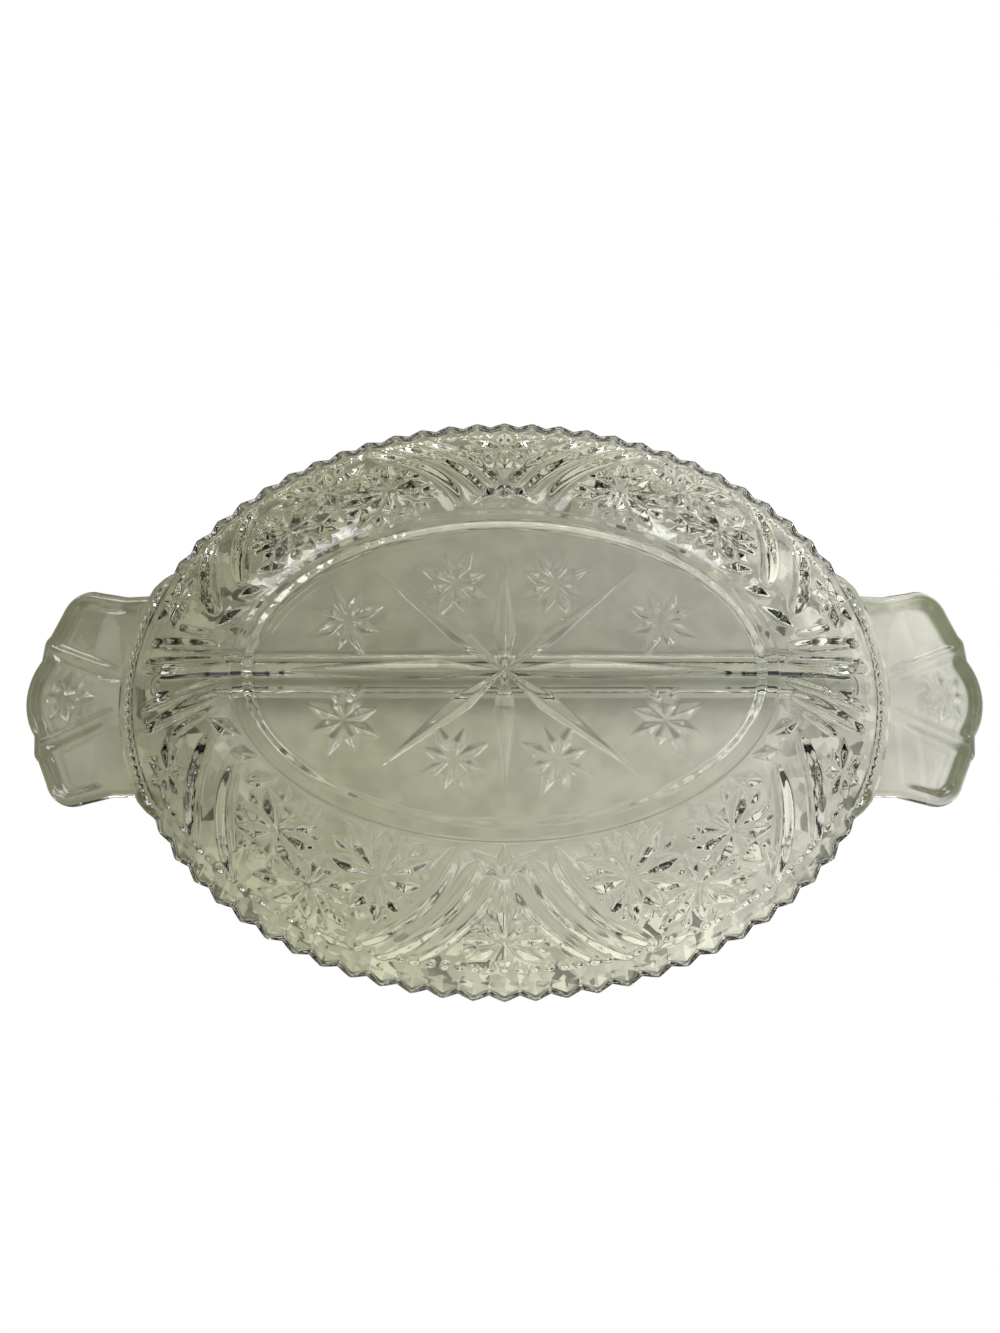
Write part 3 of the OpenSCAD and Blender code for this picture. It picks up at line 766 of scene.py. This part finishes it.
def bowl_inside(last_upper):
    index = glass.add(inner_top)
    glass.bridge(last_upper, index)
    half = column_count // 2
    ring_plan = along(column_phi[::2], WELL_TOP_SHARE)
    ring = glass.add(np.column_stack([ring_plan, np.full(half, inside_z(WELL_TOP_SHARE))]))
    glass.bridge(index, ring)
    band_y = ring_plan[BAND_HALF, 1]
    # The feet's x, from right to left, at even steps of the ring's own length
    upper_columns = np.arange(BAND_HALF, half // 2 - BAND_HALF + 1)
    run = np.concatenate([[0], np.cumsum(np.hypot(*np.diff(ring_plan[upper_columns], axis=0).T))])
    foot_x = ring_plan[upper_columns[0], 0] * (1 - 2 * run / run[-1])
    feet = {}
    for side in (1, -1):
        columns = upper_columns if side > 0 else (half - upper_columns) % half
        end = np.column_stack([foot_x, np.full(len(foot_x), side * band_y)])
        feet[side] = well(ring[columns], ring_plan[columns], end)
    return ring, ring_plan, feet, foot_x, band_y


def divider_band(ring, ring_plan, feet, foot_x, band_y):
    """The band between the wells: the divider along it, and the plain bowl at both its ends."""
    half = column_count // 2
    x = foot_x[1:-1]
    bowl_z = inside_z(out_at(x, np.full(x.shape, band_y * BAND_LEVEL_SHARE)))
    ys, zs = divider_section(x, bowl_z)
    outs = np.linspace(0, 1, WALL_SAMPLES)
    top_x = np.interp(DIV_H, inside_z(outs), RING_A + FLARE_A * outs)
    blend = smooth_step(top_x - BLEND_BACK, foot_x[0] - BLEND_STOP, np.abs(x))
    lines = {}
    for side in (1, -1):
        lines[side * BAND_HALF] = feet[side][1:-1]
        for k in range(0 if side > 0 else 1, BAND_HALF):
            y = ys[k] * (1 - blend) + ring_plan[k, 1] * blend
            bowl = inside_z(out_at(x, y))
            z = np.maximum(bowl, zs[k]) * (1 - blend) + bowl * blend
            lines[side * k] = glass.add(np.column_stack([x, side * y, z]))
    order = np.arange(-BAND_HALF, BAND_HALF + 1)
    right = ring[order % half]
    left = ring[(half // 2 - order) % half]
    columns = [np.array([lines[k][i] for k in order]) for i in range(len(x))]
    glass.grid([right] + columns + [left])


edge_row, upper_rows = rim_rows(wall_rows(floor_and_ring()))
for first, second in zip(upper_rows[:-1], upper_rows[1:]):
    glass.bridge(first, second)
rim_face(edge_row, upper_rows[0])
for side in (1, -1):
    handle_block(side, edge_row, upper_rows[0])
divider_band(*bowl_inside(upper_rows[-1]))


def new_object(name, data):
    obj = bpy.data.objects.new(name, data)
    bpy.context.scene.collection.objects.link(obj)
    return obj


def make_tray():
    mesh = bpy.data.meshes.new("pressed_tray")
    mesh.from_pydata((glass.all_points() * MM).tolist(), [], glass.faces)
    shaped = bmesh.new()
    shaped.from_mesh(mesh)
    bmesh.ops.recalc_face_normals(shaped, faces=shaped.faces)
    shaped.to_mesh(mesh)
    shaped.free()
    mesh.polygons.foreach_set("use_smooth", [True] * len(mesh.polygons))
    mesh.update()
    return new_object("pressed_tray", mesh)


tray = make_tray()


# Materials. Scales of patterns are in repeats per metre
def add_node(nodes, kind, values):
    """A shader node with some of its inputs set by name."""
    node = nodes.new("ShaderNode" + kind)
    for name, value in values.items():
        node.inputs[name].default_value = value
    return node


def math_node(nodes, links, operation, *terms):
    """A calculation on sockets and numbers."""
    node = nodes.new("ShaderNodeMath")
    node.operation = operation
    for socket, term in zip(node.inputs, terms):
        if isinstance(term, (int, float)):
            socket.default_value = term
        else:
            links.new(term, socket)
    return node


def either(nodes, links, first, second):
    """A socket that is 1 where either of two is."""
    node = math_node(nodes, links, "ADD", first, second)
    node.use_clamp = True
    return node.outputs[0]


# Pressed clear glass with a faint olive body: its skin's colour, the ripples
# of the mould, the worn patches and the tint of its depth
GLASS_SKIN, GLASS_IOR = (0.97, 0.98, 0.955, 1), 1.51
RIPPLE_SCALE, RIPPLE_DETAIL, RIPPLE_STRENGTH, RIPPLE_H = 90, 3, 0.22, 0.4
WEAR_SCALE, WEAR_DETAIL = 220, 4
WEAR_LEVELS, WEAR_ROUGHNESS = (0.4, 0.75), (0.02, 0.09)
BODY_TINT, BODY_DENSITY = (0.82, 0.83, 0.7, 1), 26


def glass_material():
    material = bpy.data.materials.new("clear_pressed_glass")
    material.use_nodes = True
    nodes, links = material.node_tree.nodes, material.node_tree.links
    shader = nodes["Principled BSDF"]
    shader.inputs["Base Color"].default_value = GLASS_SKIN
    shader.inputs["Transmission Weight"].default_value = 1
    shader.inputs["IOR"].default_value = GLASS_IOR
    where = nodes.new("ShaderNodeTexCoord").outputs["Object"]
    ripple = add_node(nodes, "TexNoise", {"Scale": RIPPLE_SCALE, "Detail": RIPPLE_DETAIL})
    links.new(where, ripple.inputs["Vector"])
    bump = add_node(nodes, "Bump", {"Strength": RIPPLE_STRENGTH, "Distance": RIPPLE_H * MM})
    links.new(ripple.outputs["Fac"], bump.inputs["Height"])
    links.new(bump.outputs["Normal"], shader.inputs["Normal"])
    wear = add_node(nodes, "TexNoise", {"Scale": WEAR_SCALE, "Detail": WEAR_DETAIL})
    links.new(where, wear.inputs["Vector"])
    rough = add_node(nodes, "MapRange", {
        "From Min": WEAR_LEVELS[0], "From Max": WEAR_LEVELS[1],
        "To Min": WEAR_ROUGHNESS[0], "To Max": WEAR_ROUGHNESS[1]})
    links.new(wear.outputs["Fac"], rough.inputs["Value"])
    links.new(rough.outputs["Result"], shader.inputs["Roughness"])
    body = add_node(nodes, "VolumeAbsorption", {"Color": BODY_TINT, "Density": BODY_DENSITY})
    links.new(body.outputs["Volume"], nodes["Material Output"].inputs["Volume"])
    return material


tray.data.materials.append(glass_material())
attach(tray, "root")
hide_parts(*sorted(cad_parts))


# Camera at the photograph's place: the tray is seen from below
IMAGE_W, IMAGE_H = 1000, 1333
FOCAL_PX = 963.0
VIEW_DEG = 78.0
DISTANCE = 217.0
CENTRE_PX = (504.6, 668.4)
SENSOR_H = 36
CLIP_START = 10


def make_camera():
    data = bpy.data.cameras.new("camera")
    camera = new_object("camera", data)
    view = math.radians(VIEW_DEG)
    forward = Vector((0, math.cos(view), math.sin(view)))
    up = Vector((0, math.sin(view), -math.cos(view)))
    right = forward.cross(up)
    turn = Matrix((right, up, -forward)).transposed().to_4x4()
    camera.matrix_world = Matrix.Translation(-forward * DISTANCE * MM) @ turn
    data.sensor_fit = "VERTICAL"
    data.sensor_height = SENSOR_H
    data.lens = FOCAL_PX / IMAGE_H * SENSOR_H
    data.shift_x = (IMAGE_W / 2 - CENTRE_PX[0]) / IMAGE_H
    data.shift_y = (CENTRE_PX[1] - IMAGE_H / 2) / IMAGE_H
    data.clip_start = CLIP_START * MM
    bpy.context.scene.camera = camera


make_camera()


# World: white to the eye and in the glass, and a weaker light on the rest
PLAIN_LIGHT = 0.8


def seen_rays(nodes, links):
    """A socket that is 1 for rays from the camera and for those through or off the glass."""
    path = nodes.new("ShaderNodeLightPath")
    seen = path.outputs["Is Camera Ray"]
    for kind in ("Is Glossy Ray", "Is Transmission Ray"):
        seen = either(nodes, links, seen, path.outputs[kind])
    return seen


def make_world():
    world = bpy.data.worlds.new("studio")
    bpy.context.scene.world = world
    world.use_nodes = True
    nodes, links = world.node_tree.nodes, world.node_tree.links
    background = nodes["Background"]
    strength = add_node(nodes, "MapRange", {"To Min": PLAIN_LIGHT, "To Max": 1.0})
    links.new(seen_rays(nodes, links), strength.inputs["Value"])
    links.new(strength.outputs["Result"], background.inputs["Strength"])
    background.inputs["Color"].default_value = (1, 1, 1, 1)


make_world()


# Stage. The tray stands on the floor for views from above. Seen from below, as
# in the photograph, it lies on the paper that its handles touch. The floor
# shows only from above and the paper only through the glass, from below. The
# floor fades to white between two distances from the tray.
FLOOR_SIZE, FLOOR_Z = 4000, -0.2
FLOOR_COLOUR = (0.9, 0.9, 0.89, 1)
FLOOR_FADE = (260, 620)
CARD_STEP_DEG = 6


def hide_from_plain_light(obj):
    obj.visible_camera = False
    obj.visible_shadow = False
    obj.visible_diffuse = False


def plane(name, size, z, material):
    half = size * MM / 2
    mesh = bpy.data.meshes.new(name)
    corners = [(-half, -half, 0), (half, -half, 0), (half, half, 0), (-half, half, 0)]
    mesh.from_pydata(corners, [], [(0, 1, 2, 3)])
    mesh.materials.append(material)
    obj = new_object(name, mesh)
    obj.location.z = z * MM
    return obj


def curved_card(name, radius, first_deg, last_deg, band, material):
    """A card curved round the tray, seen only in and through the glass."""
    steps = max(2, round(abs(last_deg - first_deg) / CARD_STEP_DEG))
    turns = [math.radians(first_deg + (last_deg - first_deg) * i / steps) for i in range(steps + 1)]
    points = [(radius * math.cos(a) * MM, radius * math.sin(a) * MM, z * MM) for z in band for a in turns]
    side = steps + 1
    mesh = bpy.data.meshes.new(name)
    mesh.from_pydata(points, [], [(i, i + 1, side + i + 1, side + i) for i in range(steps)])
    mesh.materials.append(material)
    obj = new_object(name, mesh)
    hide_from_plain_light(obj)


def one_sided(material, gone_once_passed):
    """Lets rays through from behind, and with gone_once_passed all that ever came through a back.

    Returns the socket that takes the front's shader.
    """
    material.use_nodes = True
    nodes, links = material.node_tree.nodes, material.node_tree.links
    nodes.clear()
    output = nodes.new("ShaderNodeOutputMaterial")
    clear = nodes.new("ShaderNodeBsdfTransparent")
    mix = nodes.new("ShaderNodeMixShader")
    links.new(clear.outputs[0], mix.inputs[2])
    links.new(mix.outputs[0], output.inputs["Surface"])
    behind = nodes.new("ShaderNodeNewGeometry").outputs["Backfacing"]
    if gone_once_passed:
        passed = nodes.new("ShaderNodeLightPath").outputs["Transparent Depth"]
        behind = either(nodes, links, behind, passed)
    links.new(behind, mix.inputs[0])
    return mix.inputs[1]


def floor_material():
    material = bpy.data.materials.new("floor_white")
    front = one_sided(material, True)
    nodes, links = material.node_tree.nodes, material.node_tree.links
    diffuse = add_node(nodes, "BsdfDiffuse", {"Color": FLOOR_COLOUR})
    white = nodes.new("ShaderNodeEmission")
    where = nodes.new("ShaderNodeTexCoord")
    away = nodes.new("ShaderNodeVectorMath")
    away.operation = "LENGTH"
    links.new(where.outputs["Object"], away.inputs[0])
    fade = add_node(nodes, "MapRange", {"From Min": FLOOR_FADE[0] * MM, "From Max": FLOOR_FADE[1] * MM})
    fade.interpolation_type = "SMOOTHSTEP"
    links.new(away.outputs["Value"], fade.inputs["Value"])
    share = math_node(nodes, links, "MULTIPLY", fade.outputs["Result"], seen_rays(nodes, links))
    mix = nodes.new("ShaderNodeMixShader")
    links.new(share.outputs[0], mix.inputs[0])
    links.new(diffuse.outputs[0], mix.inputs[1])
    links.new(white.outputs[0], mix.inputs[2])
    links.new(mix.outputs[0], front)
    return material


# The paper under the upturned tray: olive grey at +X, the photograph's left, and
# pale at -X. Places are x and y in millimetres, or a reach, which is 1 at the
# rim. A pair is where a change begins and where it is complete.
TABLE_GAP = 0.3
TABLE_Z = cad_box[1][2] / MM + TABLE_GAP
PAPER_HALF = 120.0
PAPER_SHARES = [0.0, 0.35, 0.65, 1.0]
PAPER_TONES = [(0.245, 0.24, 0.165), (0.365, 0.36, 0.26), (0.47, 0.46, 0.38), (0.565, 0.555, 0.5)]
# Painted shade makes it darker inside the bowl, and painted light makes it lighter in its near half, at the
# pale handle's far side and past the rim
BOWL_SHADE_LEVEL, BOWL_REACH = 0.8, (0.7, 1.0)
NEAR_LIGHT_GAIN, NEAR_Y, NEAR_X = 0.33, (-12, 4), (60, 92)
FAR_ROOT_LIGHT_GAIN, FAR_ROOT_Y, FAR_ROOT_X = 0.3, (4, 20), (92, 104)
OUTER_LIGHT_GAIN, OUTER_REACH = 0.55, (1.0, 1.14)
# The divider's soft painted shade, and the painted contact shadows, dark lines where the rim and the handles'
# edges touch the paper
BAR_SHADE, BAR_Y, BAR_WIDE, BAR_REACH = 0.3, 3, 6, (0.8, 0.95)
RIM_SHADE, RIM_TOUCH, RIM_TOUCH_WIDE, RIM_X = 0.75, 0.975, 0.02, (82, 92)
TOUCH_GAP, TOUCH_X = (2.0, 3.8), (108.0, 115.0)
TOUCH_SHADE = (0.68, 0.66, 0.76)
TOUCH_LEAST, TOUCH_LEFT = 0.4, 0.42
# The light that the wall's facets throw on the paper, in patches between two stretches of reach
DAPPLE, DAPPLE_INNER, DAPPLE_OUTER = 0.9, (0.72, 0.8), (0.96, 1.04)
PATCH_SCALE, PATCH_STOPS = 290, [(0.1, 0.12), (0.16, 0.4), (0.78, 0.56), (0.88, 0.74)]
EVEN_CAST = 0.5
# A faint mottle of painted light all over the paper
MOTTLE, MOTTLE_SCALE, MOTTLE_DETAIL, MOTTLE_LEVELS = 0.08, 110, 2, (0.38, 0.62)
# The paper's grid: its step and half size under the tray, and its lines further out
GRID_STEP = 1.0
GRID_X, FAR_LINES_X = 150, [250, 600, 2000]
GRID_Y, FAR_LINES_Y = 100, [200, 600, 2000]


def handle_touch_shade(x, y):
    """Strength of the painted contact shadow, a dark line at the handles' edges, weaker on the left and at
    the far roots.
    """
    touch = 1 - smooth_step(*TOUCH_GAP, outline_gap(np.abs(x), y))
    least = np.where(y > 0, TOUCH_LEAST, 1.0)
    touch = touch * (least + (1 - least) * smooth_step(*TOUCH_X, np.abs(x)))
    return touch * np.where(x > TOUCH_X[0], TOUCH_LEFT, 1.0)


def paper_tone_light_and_shade(x, y):
    share = np.clip((PAPER_HALF - x) / (2 * PAPER_HALF), 0, 1)
    colour = np.stack([np.interp(share, PAPER_SHARES, channel) for channel in zip(*PAPER_TONES)], -1)
    reach = np.hypot(x / RIM_A, y / RIM_B)
    side = np.clip(np.abs(y) / RIM_B, 0, 1) ** 2
    # Painted shade inside the bowl, and painted light in its near half, at the far root and past the rim
    level = BOWL_SHADE_LEVEL + (1 - BOWL_SHADE_LEVEL) * smooth_step(*BOWL_REACH, reach)
    level = level * (1 + NEAR_LIGHT_GAIN * (1 - smooth_step(*NEAR_Y, y)) * (1 - smooth_step(*NEAR_X, np.abs(x))))
    level = level * (1 + FAR_ROOT_LIGHT_GAIN * smooth_step(*FAR_ROOT_Y, y) * smooth_step(*FAR_ROOT_X, -x))
    level = level * (1 + OUTER_LIGHT_GAIN * side * smooth_step(*OUTER_REACH, reach))
    # Painted shade of the divider, and painted contact shadow along the rim
    bar = np.exp(-((y - BAR_Y) / BAR_WIDE) ** 2) * (1 - smooth_step(*BAR_REACH, reach))
    rim = np.exp(-((reach - RIM_TOUCH) / RIM_TOUCH_WIDE) ** 2) * (1 - smooth_step(*RIM_X, np.abs(x)))
    level = level * (1 - BAR_SHADE * bar) * (1 - RIM_SHADE * rim)
    # Painted contact shadow where the handles' edges touch the paper
    colour = colour * (1 - handle_touch_shade(x, y)[:, None] * np.array(TOUCH_SHADE))
    # Strength of the painted light that the facets throw, between two stretches of reach
    painted_facet_light = DAPPLE * smooth_step(*DAPPLE_INNER, reach) * (1 - smooth_step(*DAPPLE_OUTER, reach))
    return colour * level[:, None], painted_facet_light


def grid_lines(half, far):
    near = np.arange(-half, half + GRID_STEP, GRID_STEP)
    return np.concatenate([[-line for line in reversed(far)], near, far])


def make_paper():
    xs, ys = grid_lines(GRID_X, FAR_LINES_X), grid_lines(GRID_Y, FAR_LINES_Y)
    gx, gy = (g.ravel() for g in np.meshgrid(xs, ys))
    index = np.arange(len(gx)).reshape(len(ys), len(xs))
    faces = np.stack([index[:-1, :-1], index[1:, :-1], index[1:, 1:], index[:-1, 1:]], -1).reshape(-1, 4)
    mesh = bpy.data.meshes.new("paper_stage")
    mesh.from_pydata((np.column_stack([gx, gy, 0 * gx]) * MM).tolist(), [], faces.tolist())
    colour, painted_facet_light = paper_tone_light_and_shade(gx, gy)
    # The tone attribute carries the paper's colour with its painted shade and light
    tone = mesh.attributes.new("tone", "FLOAT_COLOR", "POINT")
    tone.data.foreach_set("color", np.column_stack([colour, np.ones(len(gx))]).ravel())
    # How strongly the painted facet light shows at each point
    patches = mesh.attributes.new("painted_facet_light", "FLOAT", "POINT")
    patches.data.foreach_set("value", painted_facet_light)
    mesh.materials.append(paper_material())
    paper = new_object("paper_stage", mesh)
    paper.location.z = TABLE_Z * MM
    hide_from_plain_light(paper)


def attribute(nodes, name):
    node = nodes.new("ShaderNodeAttribute")
    node.attribute_name = name
    return node


def patch_cast(nodes, links, where):
    """Painted light: cells of unlike brightness, like the light the facets throw, as a socket whose even
    level is EVEN_CAST.
    """
    patches = add_node(nodes, "TexVoronoi", {"Scale": PATCH_SCALE})
    links.new(where, patches.inputs["Vector"])
    one = nodes.new("ShaderNodeSeparateColor")
    links.new(patches.outputs["Color"], one.inputs["Color"])
    cast = nodes.new("ShaderNodeValToRGB")
    stops = cast.color_ramp.elements
    for i, (position, value) in enumerate(PATCH_STOPS):
        stop = stops[i] if i < 2 else stops.new(position)
        stop.position = position
        stop.color = (value, value, value, 1)
    links.new(one.outputs["Red"], cast.inputs["Fac"])
    return cast.outputs["Color"]


def paper_material():
    """Gives its own light: the tone of each place with its painted shade and light, a faint mottle of painted
    light and the patches of light painted for the facets.
    """
    material = bpy.data.materials.new("paper")
    front = one_sided(material, False)
    nodes, links = material.node_tree.nodes, material.node_tree.links
    where = nodes.new("ShaderNodeTexCoord").outputs["Object"]
    # Faint mottle of painted light
    mottle = add_node(nodes, "TexNoise", {"Scale": MOTTLE_SCALE, "Detail": MOTTLE_DETAIL})
    links.new(where, mottle.inputs["Vector"])
    swing = add_node(nodes, "MapRange", {
        "From Min": MOTTLE_LEVELS[0], "From Max": MOTTLE_LEVELS[1], "To Min": -1.0, "To Max": 1.0})
    links.new(mottle.outputs["Fac"], swing.inputs["Value"])
    soft = math_node(nodes, links, "MULTIPLY_ADD", swing.outputs["Result"], MOTTLE, 1.0)
    # Painted patches of light from the facets, as strong as the attribute gives
    share = add_node(nodes, "MapRange", {"To Min": EVEN_CAST})
    links.new(attribute(nodes, "painted_facet_light").outputs["Fac"], share.inputs["Value"])
    links.new(patch_cast(nodes, links, where), share.inputs["To Max"])
    patched = math_node(nodes, links, "MULTIPLY", share.outputs["Result"], 1 / EVEN_CAST)
    level = math_node(nodes, links, "MULTIPLY", soft.outputs[0], patched.outputs[0])
    glow = nodes.new("ShaderNodeEmission")
    links.new(attribute(nodes, "tone").outputs["Color"], glow.inputs["Color"])
    links.new(level.outputs[0], glow.inputs["Strength"])
    links.new(glow.outputs[0], front)
    return material


# Cards and windows round the tray, that show only in the glass, and two lamps.
# Bands are heights and sectors are degrees round the tray from +X. A lamp has
# its name, place, size and power.
CARD_GRAIN, CARD_SWING = 6, 0.3
BLACK, DUSK, PALE, CEILING = (0.006, 0.006, 0.005), (0.05, 0.05, 0.036), (0.32, 0.32, 0.29), (0.42, 0.42, 0.4)
WINDOW, NEAR_WINDOW, CURTAIN = (5.5, 5.5, 5.6), (3.5, 3.5, 3.55), (1.9, 1.9, 1.85)
DARK_CARD_SIZE, DARK_CARD_Z = 240, -420
CEILING_SIZE, CEILING_Z = 1500, -700
CARD_R, FLAG_R, NEAR_ROOM_R, WINDOW_R = 600, 595, 592, 560
LOW_BAND, NEAR_ROOM_SECTOR = (-90, 43), (246, 294)
DARK_BAND = (-480, LOW_BAND[0])
DARK_SECTORS = [(-74, -34), (-146, -108), (14, 36), (146, 166), (76, 104)]
WINDOW_BAND, WINDOW_SECTORS = (-310, -95), [(42, 68), (112, 130)]
NEAR_WINDOW_BAND, NEAR_WINDOW_SECTOR = (-330, -200), (256, 284)
CURTAIN_BAND, CURTAIN_SECTOR = (-330, -170), (172, 204)
KEY_LAMP = ("key_above", (300, -350, 700), 500, 7)
LOW_LAMP = ("lamp_below", (330, 300, -400), 160, 0.7)


def card_material(name, colour):
    material = bpy.data.materials.new(name)
    material.use_nodes = True
    nodes, links = material.node_tree.nodes, material.node_tree.links
    nodes.clear()
    output = nodes.new("ShaderNodeOutputMaterial")
    glow = nodes.new("ShaderNodeEmission")
    grain = add_node(nodes, "TexNoise", {"Scale": CARD_GRAIN})
    tone = nodes.new("ShaderNodeMix")
    tone.data_type = "RGBA"
    tone.inputs["A"].default_value = (*[(1 - CARD_SWING) * c for c in colour], 1)
    tone.inputs["B"].default_value = (*[(1 + CARD_SWING) * c for c in colour], 1)
    links.new(grain.outputs["Fac"], tone.inputs["Factor"])
    links.new(tone.outputs["Result"], glow.inputs["Color"])
    links.new(glow.outputs[0], output.inputs["Surface"])
    return material


def area_light(name, place_at, size, power):
    data = bpy.data.lights.new(name, "AREA")
    data.shape = "SQUARE"
    data.size = size * MM
    data.energy = power
    lamp = new_object(name, data)
    lamp.location = Vector(place_at) * MM
    lamp.rotation_euler = (-lamp.location).to_track_quat("-Z", "Y").to_euler()


def make_stage():
    floor = plane("floor_stage", FLOOR_SIZE, FLOOR_Z, floor_material())
    floor.visible_shadow = False
    make_paper()
    black = card_material("black_card", BLACK)
    dusk = card_material("room_card", DUSK)
    ceiling = card_material("ceiling_card", CEILING)
    hide_from_plain_light(plane("dark_card_stage", DARK_CARD_SIZE, DARK_CARD_Z, black))
    hide_from_plain_light(plane("ceiling_stage", CEILING_SIZE, CEILING_Z, ceiling))
    curved_card("low_room_stage", CARD_R, 0, 360, LOW_BAND, dusk)
    for i, sector in enumerate(DARK_SECTORS):
        curved_card("dark_flag_%d_stage" % i, FLAG_R, *sector, DARK_BAND, black)
    area_light(*KEY_LAMP)
    area_light(*LOW_LAMP)
    bright = card_material("window_card", WINDOW)
    for i, sector in enumerate(WINDOW_SECTORS):
        curved_card("window_%d_stage" % i, WINDOW_R, *sector, WINDOW_BAND, bright)
    pale = card_material("near_room_card", PALE)
    curved_card("near_room_stage", NEAR_ROOM_R, *NEAR_ROOM_SECTOR, LOW_BAND, pale)
    near = card_material("near_window_card", NEAR_WINDOW)
    curved_card("window_near_stage", WINDOW_R, *NEAR_WINDOW_SECTOR, NEAR_WINDOW_BAND, near)
    soft = card_material("curtain_card", CURTAIN)
    curved_card("window_side_stage", WINDOW_R, *CURTAIN_SECTOR, CURTAIN_BAND, soft)


make_stage()

scene = bpy.context.scene
scene.view_settings.view_transform = "Standard"
